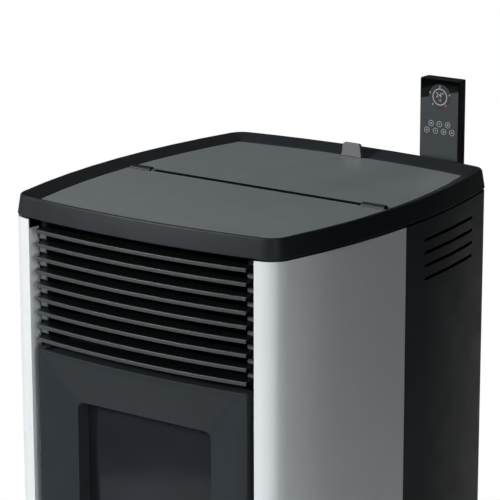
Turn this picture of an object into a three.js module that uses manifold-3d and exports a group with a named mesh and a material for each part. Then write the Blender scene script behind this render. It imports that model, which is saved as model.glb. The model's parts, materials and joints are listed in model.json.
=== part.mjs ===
// Free-standing pellet stove: bowed steel casing with a louvred hot-air grille, a fire door with a
// dished surround, a hopper under a hinged lid, an inclined auger, two fans and a raised control panel.
// Millimetres, +Z up, front of the stove towards -Y. The floor is z = 0.

import * as THREE from 'three';
import { mergeVertices } from 'three/addons/utils/BufferGeometryUtils.js';
import Module from 'manifold-3d';

const wasm = await Module();
wasm.setup();

// ---------------------------------------------------------------- driving dimensions

const FIT = 0.3;                 // gap left between pieces that touch
const RUNNING = 0.6;             // gap left round pieces that slide or turn

// plan of the stove: a rectangle with four bowed sides, measured along the crest of the top frame
const WIDTH = 540;
const DEPTH = 596;
const FRONT_BOW = 26.3;
const SIDE_BOW = 39.3;
const CORNER_RADIUS = 30;
const BODY_PROUD = 4.5;          // casing panels stand this far outside the crest line

// heights above the floor
const HEIGHT = 1110;             // crest of the top frame
const TRAY_HEIGHT = 30;          // underside of the base tray
const PANEL_BOTTOM = 40;

// sheet and casting thicknesses
const SKIN = 1.5;                // painted casing panels
const TRAY_SHEET = 2;
const PLATE = 3;                 // top plates
const CASTING = 5;               // fire door
const BOILER_PLATE = 4;          // firebox

// top frame
const FRAME_DROP = 30.5;         // outer face, crest to bottom edge
const FRAME_FLARE = 5.15;        // bottom edge outside the crest line
const RIM_WIDTH = 27;            // sloped inner rim
const RIM_DROP = 9.4;
const LEDGE_WIDTH = 15;          // shelf under the top plates
const FRAME_WALL = 3;
const SHADOW_GAP = 2.5;          // between the frame and the casing below
const PLATE_GAP = 1.5;           // round the top plates
const SPLIT_Y = -3;              // line between the fixed plate and the hopper lid
const SPLIT_GAP = 6;
const LID_REAR_GAP = 7;          // between the lid and the rear rim

// lid
const LID_HINGE_INSET = 52;      // middle of each barrel, inside the side of the crest line
const LID_HINGE_LENGTH = 40;
const LID_HINGE_RADIUS = 5.8;
const LID_PIN_RADIUS = 2.5;
const LID_ARM = 4;               // arm under the lid that carries each pin
const TAB_WIDTH = 38;
const TAB_HEIGHT = 22;
const TAB_THICKNESS = 6;

// front
const PANEL_FACE = 64;           // strip of each side panel on the front, inside the crest line
const REAR_FACE = 56;            // strip of each rear side on the back
const REAR_RETURN = 30;          // edge of each rear side, folded in beside the back panel
const DOOR_SIDE_GAP = 12.4;      // between the door and each side panel
const DOOR_TOP_DROP = 229.3;     // below the crest
const DOOR_SILL = 330.7;         // lower edge of the door
const HANDLE_DROP = 5;           // spindle of the handle below the middle of the door
const DOOR_SETBACK = 2.4;        // behind the casing surface
const RIM_SIDE = 19;             // flat band round the dish of the door
const RIM_TOP = 13.5;
const WINDOW_SIDE = 69.6;        // door edge to window, left and right
const WINDOW_EDGE = 72.5;        // door edge to window, top and bottom
const WINDOW_RADIUS = 10;
const WINDOW_DEPTH = 24;         // window wall, dish to glass
const DISH_DEPTH = 18.5;         // from the casing line on the centre to the window edge
const GLASS = 4;
const GASKET = 9;                // rope diameter

// grille
const SLAT_COUNT = 9;
const SLAT_END_GAP = 13.6;       // between the blades and each side panel
const SLAT_PITCH = 20.75;
const SLAT_TOP_DROP = 46.3;      // top edge of the first lip below the crest
const SLAT_SETBACK = 1.4;
const SLAT_DEPTH = 16.2;
const SLAT_LIP = 5.4;
const SLAT_SHEET = 1.6;
const SLAT_RISE = 1.6;
const GRILLE_BAR = 8.7;          // width of the bars behind the slat ends

// below the door
const JOINT_GAP = 6;             // door to ash drawer, ash drawer to kick panel
const ASH_FRONT_HEIGHT = 116;

// firebox
const FIREBOX_SIDE = 26;         // firebox beyond the window, left and right
const FIRE_FLOOR_RISE = 65.3;    // above the door's lower edge
const FIREBOX_TOP_DROP = 80.7;   // below the door's upper edge
const ASH_SLOT = { inset: 52, width: 28, length: 140 };
const LINER = 22;
const POT_RADIUS = 54;
const POT_DEPTH = 62;
const POT_WALL = 3;
const POT_AHEAD = 116;           // its axis ahead of the firebox's rear face
const DRAWER_BACK_GAP = 28;      // ash drawer short of the firebox's rear face

// hopper and auger
const HOPPER_SIDE = 85;          // hopper inside the crest line, left and right
const HOPPER_BEHIND = 20;        // between the firebox and the hopper
const HOPPER_REAR_GAP = 34;      // between the hopper and the back panel
const FUNNEL_HEIGHT = 190;
const NECK_HEIGHT = 80;          // square neck above the axis of the auger
const HOPPER_SHEET = 1.5;
const OUTLET = 50;               // square outlet of the hopper
const OUTLET_AHEAD = 130;        // its axis ahead of the back panel
const FIREBOX_AHEAD = 136;       // firebox's rear face ahead of the outlet
const AUGER_TILT = 30;           // degrees above the horizontal, rising to the front
const AUGER_RISE = 124;          // its axis under the outlet, above the fire floor
const AUGER_TUBE_RADIUS = 35;
const AUGER_TUBE_WALL = 3;
const AUGER_BEHIND = 50;         // tube behind the outlet
const AUGER_AHEAD = 124;         // tube ahead of the outlet
const SCREW_CLEARANCE = 3;
const SCREW_SHAFT = 8;
const SCREW_PITCH = 48;
const SCREW_FLIGHT = 3;
const CHUTE_SHEET = 2;
const CHUTE_BELOW = 34;          // chute floor under the middle of the tube's mouth
const CHUTE_ABOVE = 36;

// back of the stove
const BACK_PANEL_INSET = 28;     // inside the crest line
const FLUE_RADIUS = 40;
const PORT_OFFSET = 20;          // flue and air ports, beyond the quarter points of the firebox
const PIPE_SHEET = 1.5;
const FLUE_Z = 250;
const FLUE_END = 52;             // beyond the back panel
const AIR_RADIUS = 25;
const AIR_DROP = 31;             // below the fire floor
const AIR_END = 38;              // beyond the back panel
const VENT_COUNT = 7;
const VENT_LENGTH = 120;
const VENT_HEIGHT = 6;
const VENT_PITCH = 14;
const VENT_FROM = 62;            // lower edge of the first vent
const INLET_INSET = 49;          // power inlet, inside the side of the back panel
const INLET_Z = 120;
const SMOKE_PORT_RADIUS = 30;
const SMOKE_PORT_DROP = 100;     // below the roof of the firebox
const SMOKE_FAN_RADIUS = 72;
const SMOKE_FAN_DEPTH = 70;
const SMOKE_FAN_GAP = 24;        // between the fan housing and the back panel
const BOARD_INSET = 46;          // control board, inside the side of the crest line
const BOARD_Y = 90;              // its front edge
const BOARD_Z = 300;             // its lower edge

// room-air blower under the firebox
const BLOWER_BEHIND = 84;        // its axis behind the firebox
const BLOWER_Z = 120;
const BLOWER_HALF = 126;         // half its length
const ROTOR_RADIUS = 44;

// slots in the rear side panels
const SLOT_COUNT = 4;
const SLOT_PITCH = 20;
const SLOT_HEIGHT = 5;
const SLOT_FROM = 51;
const SLOT_REAR = 85;            // inside the rear crest line
const SLOT_DROP = 63;            // first slot below the crest

// control panel behind the top frame
const CONTROL_INSET = 133;       // its middle, inside the right side of the crest line
const CONTROL_WIDTH = 70;
const CONTROL_DEPTH = 23.5;
const CONTROL_LENGTH = 186;
const CONTROL_RAISED = 124;      // its top above the crest
const CONTROL_GLASS = 2;
const CONTROL_FACE = 126;        // length of its glass
const CONTROL_TRAVEL = 115;
const GUIDE_TOP_DROP = 50;
const GUIDE_WALL = 2.5;

// ---------------------------------------------------------------- solids

const range = (n) => Array.from({ length: n }, (_, i) => i);
const lerp = (a, b, t) => a + (b - a) * t;
const radians = THREE.MathUtils.degToRad;

function toSolid(geometry) {
  const bare = geometry.clone();
  bare.deleteAttribute('normal');
  bare.deleteAttribute('uv');
  const merged = mergeVertices(bare, 1e-4);
  const mesh = new wasm.Mesh({
    numProp: 3,
    vertProperties: new Float32Array(merged.attributes.position.array),
    triVerts: new Uint32Array(merged.index.array),
  });
  return new wasm.Manifold(mesh);
}

function toGeometry(solid) {
  const mesh = solid.getMesh();
  const geometry = new THREE.BufferGeometry();
  geometry.setAttribute('position', new THREE.BufferAttribute(new Float32Array(mesh.vertProperties), 3));
  geometry.setIndex(new THREE.BufferAttribute(new Uint32Array(mesh.triVerts), 1));
  return geometry;
}

const cut = (geometry, ...tools) =>
  toGeometry(tools.reduce((solid, tool) => solid.subtract(toSolid(tool)), toSolid(geometry)));
const fuse = (geometry, ...others) =>
  toGeometry(others.reduce((solid, other) => solid.add(toSolid(other)), toSolid(geometry)));

function box(x0, x1, y0, y1, z0, z1) {
  const geometry = new THREE.BoxGeometry(x1 - x0, y1 - y0, z1 - z0);
  return geometry.translate((x0 + x1) / 2, (y0 + y1) / 2, (z0 + z1) / 2);
}

// a cylinder from a to b along one axis ('x', 'y' or 'z'); p and q are the other two coordinates in order
function rod(axis, radius, a, b, p, q, sides = 24) {
  const geometry = new THREE.CylinderGeometry(radius, radius, b - a, sides);
  const middle = (a + b) / 2;
  if (axis === 'x') return geometry.rotateZ(-Math.PI / 2).translate(middle, p, q);
  if (axis === 'y') return geometry.translate(p, middle, q);
  return geometry.rotateX(Math.PI / 2).translate(p, q, middle);
}

// an upright prism on a plan given as [x, y] points
function prism(points, z0, z1) {
  const shape = new THREE.Shape(points.map(([x, y]) => new THREE.Vector2(x, y)));
  return new THREE.ExtrudeGeometry(shape, { depth: z1 - z0, bevelEnabled: false }).translate(0, 0, z0);
}

// a prism along Y on an elevation given as [x, z] points
function slab(points, y0, y1) {
  const shape = new THREE.Shape(points.map(([x, z]) => new THREE.Vector2(x, z)));
  const geometry = new THREE.ExtrudeGeometry(shape, { depth: y1 - y0, bevelEnabled: false });
  return geometry.rotateX(Math.PI / 2).translate(0, y1, 0);
}

// a prism along X on a side view given as [y, z] points
function sideSlab(points, x0, x1) {
  const shape = new THREE.Shape(points.map(([y, z]) => new THREE.Vector2(y, z)));
  const geometry = new THREE.ExtrudeGeometry(shape, { depth: x1 - x0, bevelEnabled: false });
  return geometry.rotateX(Math.PI / 2).rotateZ(Math.PI / 2).translate(x0, 0, 0);
}

// a solid of revolution about Z; the [radius, z] profile closes on itself
function lathe(profile, sides = 32) {
  const points = [...profile, profile[0]].map(([r, z]) => new THREE.Vector2(r, z));
  return new THREE.LatheGeometry(points, sides).rotateX(Math.PI / 2);
}

// rings of [x, y, z] points with the same count, joined in order; an endless loft joins the last to the first
function loft(rings, endless = true) {
  const count = rings[0].length;
  const positions = rings.flat(2);
  const index = [];
  const last = endless ? rings.length : rings.length - 1;
  for (const i of range(last)) {
    const a = i * count;
    const b = ((i + 1) % rings.length) * count;
    for (const k of range(count)) {
      const next = (k + 1) % count;
      index.push(a + k, b + k, b + next, a + k, b + next, a + next);
    }
  }
  if (!endless) {
    index.push(...capTriangles(rings[0]).flat());
    const top = (rings.length - 1) * count;
    index.push(...capTriangles(rings[rings.length - 1]).flatMap(([p, q, r]) => [top + r, top + q, top + p]));
  }
  const geometry = new THREE.BufferGeometry();
  geometry.setAttribute('position', new THREE.Float32BufferAttribute(positions, 3));
  geometry.setIndex(index);
  return facingOut(geometry);
}

// triangles over a flat ring, in the ring's own direction
function capTriangles(ring) {
  const normal = [0, 1, 2].map((k) => {
    const [u, w] = [(k + 1) % 3, (k + 2) % 3];
    return ring.reduce((sum, p, i) => {
      const next = ring[(i + 1) % ring.length];
      return sum + p[u] * next[w] - next[u] * p[w];
    }, 0);
  });
  const main = [0, 1, 2].reduce((best, k) => (Math.abs(normal[k]) > Math.abs(normal[best]) ? k : best), 0);
  const contour = ring.map((p) => new THREE.Vector2(p[(main + 1) % 3], p[(main + 2) % 3]));
  if (normal[main] > 0) return THREE.ShapeUtils.triangulateShape(contour, []);
  const original = (i) => ring.length - 1 - i;
  const faces = THREE.ShapeUtils.triangulateShape(contour.reverse(), []);
  return faces.map(([p, q, r]) => [original(r), original(q), original(p)]);
}

function facingOut(geometry) {
  const p = geometry.attributes.position;
  const index = geometry.index.array;
  const [a, b, c] = [new THREE.Vector3(), new THREE.Vector3(), new THREE.Vector3()];
  let volume = 0;
  for (let i = 0; i < index.length; i += 3) {
    a.fromBufferAttribute(p, index[i]);
    b.fromBufferAttribute(p, index[i + 1]);
    c.fromBufferAttribute(p, index[i + 2]);
    volume += a.dot(b.cross(c));
  }
  if (volume < 0) geometry.index.array.reverse();
  return geometry;
}

const mirrored = (points) => points.map(([x, y]) => [-x, y]).reverse();

// ---------------------------------------------------------------- plan of the stove

const bowRadius = (half, bow) => (half * half + bow * bow) / (2 * bow);
const FRONT_ARC = bowRadius(WIDTH / 2, FRONT_BOW);
const SIDE_ARC = bowRadius(DEPTH / 2, SIDE_BOW);
const FRONT_CENTRE = new THREE.Vector2(0, FRONT_ARC - DEPTH / 2);
const SIDE_CENTRE = new THREE.Vector2(WIDTH / 2 - SIDE_ARC, 0);
const ARC_STEPS = { front: 4, corner: 4, side: 4 };

// y of the bowed front line at x, and x of the bowed side line at y, for a line offset outwards
const frontY = (x, offset) => FRONT_CENTRE.y - Math.sqrt((FRONT_ARC + offset) ** 2 - x * x);
const sideX = (y, offset) => SIDE_CENTRE.x + Math.sqrt((SIDE_ARC + offset) ** 2 - y * y);

// centre of the front right corner arc, which touches the front and the side arcs
function cornerCentre(offset, radius) {
  const reach = FRONT_ARC + offset - radius;
  const other = SIDE_ARC + offset - radius;
  const between = FRONT_CENTRE.distanceTo(SIDE_CENTRE);
  const along = (reach * reach - other * other + between * between) / (2 * between);
  const across = Math.sqrt(reach * reach - along * along);
  const direction = SIDE_CENTRE.clone().sub(FRONT_CENTRE).divideScalar(between);
  const normal = new THREE.Vector2(-direction.y, direction.x);
  return FRONT_CENTRE.clone().addScaledVector(direction, along).addScaledVector(normal, across);
}

// front right quarter of the outline, from a point on the front to a point on the side
function cornerRun(offset, radius, xFrom = 0, yTo = 0, steps = ARC_STEPS) {
  const centre = cornerCentre(offset, radius);
  const fromFront = centre.clone().sub(FRONT_CENTRE);
  const fromSide = centre.clone().sub(SIDE_CENTRE);
  const frontEnd = Math.atan2(fromFront.x, -fromFront.y);
  const frontStart = Math.asin(xFrom / (FRONT_ARC + offset));
  const sideStart = Math.atan2(fromSide.y, fromSide.x);
  const sideEnd = Math.asin(yTo / (SIDE_ARC + offset));
  const points = [];
  for (const i of range(steps.front)) {
    const angle = lerp(frontStart, frontEnd, i / steps.front);
    const arc = FRONT_ARC + offset;
    points.push([FRONT_CENTRE.x + arc * Math.sin(angle), FRONT_CENTRE.y - arc * Math.cos(angle)]);
  }
  for (const i of range(steps.corner)) {
    const angle = lerp(frontEnd - Math.PI / 2, sideStart, i / steps.corner);
    points.push([centre.x + radius * Math.cos(angle), centre.y + radius * Math.sin(angle)]);
  }
  for (const i of range(steps.side + 1)) {
    const angle = lerp(sideStart, sideEnd, i / steps.side);
    const arc = SIDE_ARC + offset;
    points.push([SIDE_CENTRE.x + arc * Math.cos(angle), SIDE_CENTRE.y + arc * Math.sin(angle)]);
  }
  return points;
}

// the whole outline, offset outwards, with its corners kept round where it runs inside them
const innerCorner = (offset) => Math.max(CORNER_RADIUS + offset, 6);
function outline(offset, radius = innerCorner(offset)) {
  const quarter = cornerRun(offset, radius);
  const rear = quarter.map(([x, y]) => [x, -y]).reverse().slice(1);
  const right = [...quarter, ...rear];
  return [...right, ...mirrored(right).slice(1, -1)];
}

// places that follow from the driving dimensions
const LID_HINGE_X = WIDTH / 2 - LID_HINGE_INSET;
const FRONT_OPENING = WIDTH - 2 * PANEL_FACE;
const DOOR_WIDTH = FRONT_OPENING - 2 * DOOR_SIDE_GAP;
const WINDOW_WIDTH = DOOR_WIDTH - 2 * WINDOW_SIDE;
const SLAT_WIDTH = FRONT_OPENING - 2 * SLAT_END_GAP;
const DOOR_TOP = HEIGHT - DOOR_TOP_DROP;
const DOOR_BOTTOM = DOOR_SILL;
const FIREBOX_WIDTH = WINDOW_WIDTH + 2 * FIREBOX_SIDE;
const FIRE_FLOOR = DOOR_BOTTOM + FIRE_FLOOR_RISE;
const FIREBOX_TOP = DOOR_TOP - FIREBOX_TOP_DROP;
const BACK_PANEL_Y = DEPTH / 2 - BACK_PANEL_INSET;
const BACK_PANEL_HALF = WIDTH / 2 - REAR_FACE;
const HOPPER_WIDTH = WIDTH - 2 * HOPPER_SIDE;
const OUTLET_Y = BACK_PANEL_Y - OUTLET_AHEAD;
const FIREBOX_BACK = OUTLET_Y - FIREBOX_AHEAD;
const HOPPER_FRONT = FIREBOX_BACK + HOPPER_BEHIND;
const HOPPER_BACK = BACK_PANEL_Y - HOPPER_REAR_GAP;
const POT_Y = FIREBOX_BACK - POT_AHEAD;
const BLOWER_Y = FIREBOX_BACK + BLOWER_BEHIND;
const AIR_X = FIREBOX_WIDTH / 4 + PORT_OFFSET;
const FLUE_X = -AIR_X;
const INLET_X = BACK_PANEL_HALF - INLET_INSET;
const AUGER_Z = FIRE_FLOOR + AUGER_RISE;
const HOPPER_TAPER_END = AUGER_Z + NECK_HEIGHT;
const HOPPER_TAPER_TOP = HOPPER_TAPER_END + FUNNEL_HEIGHT;
const AIR_Z = FIRE_FLOOR - AIR_DROP;
const SMOKE_PORT_Z = FIREBOX_TOP - SMOKE_PORT_DROP;
const CONTROL_X = WIDTH / 2 - CONTROL_INSET;
const CONTROL_Y = RUNNING - frontY(CONTROL_X - CONTROL_WIDTH / 2, FRAME_FLARE);

const ringAt = (offset, z) => outline(offset).map(([x, y]) => [x, y, z]);

// the front line in a plan view, from the left end to the right end
const frontLine = (half, offset, steps) =>
  range(steps + 1).map((i) => {
    const x = lerp(-half, half, i / steps);
    return [x, frontY(x, offset)];
  });

// ---------------------------------------------------------------- materials

const paint = (color, roughness, metalness = 0.2) =>
  new THREE.MeshStandardMaterial({ color, roughness, metalness });
const MATERIALS = {
  black: paint(0x1f2122, 0.45),
  grey: paint(0x3b3d3e, 0.5),
  plate: paint(0x5f6263, 0.35),
  silver: paint(0xb9bbbc, 0.4, 0.5),
  steel: paint(0x8d9092, 0.35, 0.9),
  iron: paint(0x2e3032, 0.7, 0.5),
  glass: new THREE.MeshStandardMaterial({
    color: 0x16181a, roughness: 0.05, transparent: true, opacity: 0.5,
  }),
  gloss: paint(0x0a0b0c, 0.08, 0),
  rubber: paint(0x161616, 0.85, 0),
  rope: paint(0x6b6558, 0.95, 0),
  liner: paint(0xb8a98c, 0.95, 0),
  plastic: paint(0x2a2c2d, 0.5, 0),
  board: paint(0x1f5b3a, 0.6, 0),
};

const stove = new THREE.Group();

function add(parent, name, geometry, material) {
  const mesh = new THREE.Mesh(geometry, MATERIALS[material]);
  mesh.name = name;
  parent.add(mesh);
  return mesh;
}

function groupAt(x, y, z) {
  const group = new THREE.Group();
  group.position.set(x, y, z);
  stove.add(group);
  return group;
}

// ---------------------------------------------------------------- base, feet and casing

const PANEL_TOP = HEIGHT - FRAME_DROP - SHADOW_GAP;
const INSIDE_SKIN = BODY_PROUD - SKIN;
const SKIN_CLEARANCE = 1;        // between the casing sheets and what they wrap round
const SKIRT_BOTTOM = PANEL_TOP - 14;
const FOOT_X = WIDTH / 2 - 80;
const FOOT_Y = DEPTH / 2 - 83;
const FOOT_PLACES = {
  fl: [-FOOT_X, -FOOT_Y], fr: [FOOT_X, -FOOT_Y], rl: [-FOOT_X, FOOT_Y], rr: [FOOT_X, FOOT_Y],
};
const STUD_RADIUS = 5;
const TRAY_FLANGE = 30;
const FOLD_BOTTOM = TRAY_HEIGHT + TRAY_FLANGE + FIT;
const FOLD_TOP = SKIRT_BOTTOM - FIT;

function makeBaseTray() {
  const outer = INSIDE_SKIN - SKIN_CLEARANCE;
  const floor = prism(outline(outer), TRAY_HEIGHT, TRAY_HEIGHT + TRAY_FLANGE);
  const hollow = prism(outline(outer - TRAY_SHEET), TRAY_HEIGHT + TRAY_SHEET, TRAY_HEIGHT + TRAY_FLANGE + 1);
  const holes = Object.values(FOOT_PLACES).map(([x, y]) =>
    rod('z', STUD_RADIUS + FIT, TRAY_HEIGHT - 1, TRAY_HEIGHT + TRAY_SHEET + 1, x, y, 16));
  add(stove, 'base_tray', cut(floor, hollow, ...holes), 'black');
}

function makeFeet() {
  const pad = 21;
  const nut = 10;
  const profile = [[0, 0], [pad, 0], [pad, 6], [pad - 4, 9], [STUD_RADIUS, 10],
    [STUD_RADIUS, TRAY_HEIGHT - 9], [nut, TRAY_HEIGHT - 9], [nut, TRAY_HEIGHT - FIT],
    [STUD_RADIUS, TRAY_HEIGHT - FIT], [STUD_RADIUS, TRAY_HEIGHT + 14], [0, TRAY_HEIGHT + 14]];
  for (const [place, [x, y]] of Object.entries(FOOT_PLACES)) {
    const foot = add(stove, `levelling_foot_${place}`, lathe(profile, 10), 'rubber');
    foot.position.set(x, y, 0);
  }
}

// one wrapped casing sheet, and the edge that is folded back from its end on the front or rear face
function wrappedSheet(edgeX, endY, foldEnd) {
  const steps = { ...ARC_STEPS, front: 2 };
  const outer = cornerRun(BODY_PROUD, CORNER_RADIUS + BODY_PROUD, edgeX, endY, steps);
  const inner = cornerRun(INSIDE_SKIN, CORNER_RADIUS + INSIDE_SKIN, edgeX, endY, steps);
  const edgeY = outer[0][1];
  const fold = [[edgeX, edgeY + SKIN / 2], [edgeX + SKIN, edgeY + SKIN / 2], [edgeX + SKIN, foldEnd],
    [edgeX, foldEnd]];
  return { sheet: [...outer, ...inner.reverse()], fold };
}

const sheetSolid = ({ sheet, fold }) =>
  fuse(prism(sheet, PANEL_BOTTOM, PANEL_TOP), prism(fold, FOLD_BOTTOM, FOLD_TOP));
const flipped = (plan, flip) => ({ sheet: flip(plan.sheet), fold: flip(plan.fold) });
const toRear = (points) => points.map(([x, y]) => [x, -y]).reverse();

function makeCasing() {
  const front = wrappedSheet(FRONT_OPENING / 2, SPLIT_Y - FIT, SEAL_PLANE + FRAME_STEEL);
  add(stove, 'side_panel_right', sheetSolid(front), 'silver');
  add(stove, 'side_panel_left', sheetSolid(flipped(front, mirrored)), 'silver');

  const slotTo = DEPTH / 2 - SLOT_REAR;
  const rearEdge = BACK_PANEL_HALF + FIT;
  const rearFold = frontY(rearEdge, BODY_PROUD) + REAR_RETURN;
  const rear = flipped(wrappedSheet(rearEdge, -SPLIT_Y - FIT, rearFold), toRear);
  for (const [side, flip, sign] of [['right', (points) => points, 1], ['left', mirrored, -1]]) {
    const slots = range(SLOT_COUNT).map((i) => {
      const z = HEIGHT - SLOT_DROP - i * SLOT_PITCH;
      const middle = sign * sideX((SLOT_FROM + slotTo) / 2, BODY_PROUD);
      return box(middle - 20, middle + 20, SLOT_FROM, slotTo, z - SLOT_HEIGHT / 2, z + SLOT_HEIGHT / 2);
    });
    add(stove, `rear_side_${side}`, cut(sheetSolid(flipped(rear, flip)), ...slots), 'black');
  }
}

// ---------------------------------------------------------------- top frame and plates

const LEDGE_Z = HEIGHT - RIM_DROP - PLATE - 1;       // top of the shelf that carries the plates
const PLATE_TOP = LEDGE_Z + FIT + PLATE;
const LEDGE_INNER = -(RIM_WIDTH + LEDGE_WIDTH);
const LEDGE_UNDER = LEDGE_Z - FRAME_WALL;

function makeTopFrame() {
  const crest = HEIGHT;
  const bottom = HEIGHT - FRAME_DROP;
  const skirt = INSIDE_SKIN - SKIN_CLEARANCE;
  const rings = [
    ringAt(FRAME_FLARE - 1.4, bottom),
    ringAt(FRAME_FLARE, bottom + 1.6),
    ringAt(0.9, crest - 2.6),
    ringAt(-0.6, crest - 0.6),
    ringAt(-2.6, crest),
    ringAt(-4.6, crest - 0.7),
    ringAt(-RIM_WIDTH + 1, crest - RIM_DROP),
    ringAt(-RIM_WIDTH, crest - RIM_DROP - 0.8),
    ringAt(-RIM_WIDTH, LEDGE_Z),
    ringAt(LEDGE_INNER, LEDGE_Z),
    ringAt(LEDGE_INNER, LEDGE_UNDER),
    ringAt(-RIM_WIDTH + 6, LEDGE_UNDER),
    ringAt(skirt - FRAME_WALL, crest - 6 - FRAME_WALL),
    ringAt(skirt - FRAME_WALL, SKIRT_BOTTOM),
    ringAt(skirt, SKIRT_BOTTOM),
    ringAt(skirt, bottom),
  ];
  const opening = FRONT_OPENING / 2 + SKIN;
  const mouthBack = frontY(opening, LEDGE_INNER);
  const grilleMouth = box(-opening, opening, frontY(0, FRAME_FLARE) - 1, mouthBack, SKIRT_BOTTOM - 1, bottom);
  add(stove, 'top_frame', cut(loft(rings), grilleMouth, ...barrelClearances()), 'black');
}

const PLATE_OUTLINE = -(RIM_WIDTH + PLATE_GAP);
const HINGE_Z = PLATE_TOP - 0.6;
const BARREL_CUT = LID_HINGE_RADIUS + RUNNING;

// a stretch along X on one side of the stove, given by its inner and outer distance from the middle
const onSide = (side, inner, outer) => (side > 0 ? [inner, outer] : [-outer, -inner]);
const HINGE_INNER = LID_HINGE_X - LID_HINGE_LENGTH / 2;
const HINGE_OUTER = LID_HINGE_X + LID_HINGE_LENGTH / 2;
const ARM_INNER = HINGE_INNER - RUNNING - LID_ARM;

const barrelClearances = () =>
  [-1, 1].map((side) => {
    const [from, to] = onSide(side, ARM_INNER - RUNNING, HINGE_OUTER + RUNNING);
    return rod('x', BARREL_CUT, from, to, SPLIT_Y, HINGE_Z, 20);
  });

function makeFrontPlate() {
  const quarter = cornerRun(PLATE_OUTLINE, innerCorner(PLATE_OUTLINE), 0, SPLIT_Y - SPLIT_GAP / 2);
  const plan = [...quarter, ...mirrored(quarter).slice(0, -1)];
  const plate = prism(plan, PLATE_TOP - PLATE, PLATE_TOP);
  add(stove, 'front_top_plate', cut(plate, ...barrelClearances()), 'plate');
}

// hopper lid and its pull tab, in a group on the hinge line
function makeLid() {
  const lid = groupAt(0, SPLIT_Y, HINGE_Z);
  const rearEdge = -(RIM_WIDTH + LID_REAR_GAP);
  const side = cornerRun(PLATE_OUTLINE, innerCorner(PLATE_OUTLINE), 0, -(SPLIT_Y + SPLIT_GAP / 2));
  const limit = frontY(0, rearEdge);
  const quarter = side.map(([x, y]) => [x, -Math.max(y, frontY(Math.min(x, WIDTH / 2), rearEdge))]).reverse();
  const plan = [...quarter, ...mirrored(quarter).slice(1)];
  const plate = prism(plan, PLATE_TOP - PLATE, PLATE_TOP);
  const arms = [-1, 1].map((s) => {
    const [armFrom, armTo] = onSide(s, ARM_INNER, ARM_INNER + LID_ARM);
    const [pinFrom, pinTo] = onSide(s, ARM_INNER + LID_ARM / 2, HINGE_OUTER - LID_HINGE_LENGTH / 4);
    const arm = box(armFrom, armTo, SPLIT_Y - 3.5, SPLIT_Y + 14, HINGE_Z - 3.5, PLATE_TOP - 0.8);
    return fuse(arm, rod('x', LID_PIN_RADIUS, pinFrom, pinTo, SPLIT_Y, HINGE_Z, 12));
  });
  const body = fuse(cut(plate, ...barrelClearances()), ...arms);
  add(lid, 'hopper_lid', body.translate(0, -SPLIT_Y, -HINGE_Z), 'plate');

  const half = TAB_WIDTH / 2;
  const z0 = PLATE_TOP + FIT;
  const z1 = z0 + TAB_HEIGHT;
  const face = [[-half, z0], [half, z0], [half - 2.2, z1 - 4], [half - 3.4, z1 - 1.2], [half - 6, z1],
    [-half + 6, z1], [-half + 3.4, z1 - 1.2], [-half + 2.2, z1 - 4]];
  const rear = -limit;
  const tab = slab(face, rear - TAB_THICKNESS, rear);
  add(lid, 'lid_tab', tab.translate(0, -SPLIT_Y, -HINGE_Z), 'grey');
}

// hinge barrels: each a bored tube on a leaf screwed under the fixed plate
function makeLidHinges() {
  for (const [name, side] of [['lid_hinge_left', -1], ['lid_hinge_right', 1]]) {
    const [from, to] = onSide(side, HINGE_INNER, HINGE_OUTER);
    const [leafFrom, leafTo] = onSide(side, HINGE_INNER + 1, sideX(0, LEDGE_INNER) - 2 * RUNNING);
    const barrel = rod('x', LID_HINGE_RADIUS, from, to, SPLIT_Y, HINGE_Z, 20);
    const leafTop = PLATE_TOP - PLATE - FIT;
    const leaf = box(leafFrom, leafTo, SPLIT_Y - 26, SPLIT_Y, leafTop - 2, leafTop);
    const bore = rod('x', LID_PIN_RADIUS + RUNNING / 2, from - 1, to + 1, SPLIT_Y, HINGE_Z, 12);
    add(stove, name, cut(fuse(barrel, leaf), bore), 'black');
  }
}

// ---------------------------------------------------------------- front frame and grille

const DOOR_OFFSET = BODY_PROUD - DOOR_SETBACK;
const WINDOW_EDGE_Y = frontY(0, BODY_PROUD) + DISH_DEPTH + 4.5;
const DOOR_BACK = WINDOW_EDGE_Y + WINDOW_DEPTH;
const SEAL_PLANE = DOOR_BACK + GASKET + 2 * FIT;     // firebox flange that the gasket presses on
const SLAT_OFFSET = BODY_PROUD - SLAT_SETBACK;
const SLAT_END_Y = frontY(SLAT_WIDTH / 2, SLAT_OFFSET);
const BAR_FRONT = SLAT_END_Y + SLAT_DEPTH + FIT;
const GRILLE_BOTTOM = DOOR_TOP + 4;
const WING_X = FRONT_OPENING / 2 - FIT;
const FRAME_STEEL = 4;

function makeFrontFrame() {
  const barOuter = SLAT_WIDTH / 2 + 1.3;
  const barInner = barOuter - GRILLE_BAR;
  const wingFront = BAR_FRONT + 9;
  const rear = SEAL_PLANE + FRAME_STEEL;
  const railTop = LEDGE_UNDER - FIT;
  const bar = [[barInner, BAR_FRONT], [barOuter, BAR_FRONT], [barOuter, wingFront], [WING_X, wingFront],
    [WING_X, rear], [barInner, rear]];
  const foot = TRAY_HEIGHT + TRAY_SHEET + FIT;
  const bars = [bar, mirrored(bar)].map((plan) => prism(plan, GRILLE_BOTTOM, railTop));
  const posts = [-1, 1].map((side) => {
    const [from, to] = onSide(side, FLANGE_HALF + FIT, WING_X);
    return box(from, to, SEAL_PLANE, rear, foot, GRILLE_BOTTOM + 8);
  });
  const topRail = box(-barOuter, barOuter, wingFront, rear, railTop - 22, railTop);
  const middleRail = box(-WING_X, WING_X, SEAL_PLANE, rear, DOOR_TOP - 12, GRILLE_BOTTOM + 8);
  const bottomRail = box(-WING_X + 1, WING_X - 1, SEAL_PLANE, rear, foot, foot + 30);
  add(stove, 'front_frame', fuse(...bars, ...posts, topRail, middleRail, bottomRail), 'black');
}

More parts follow.
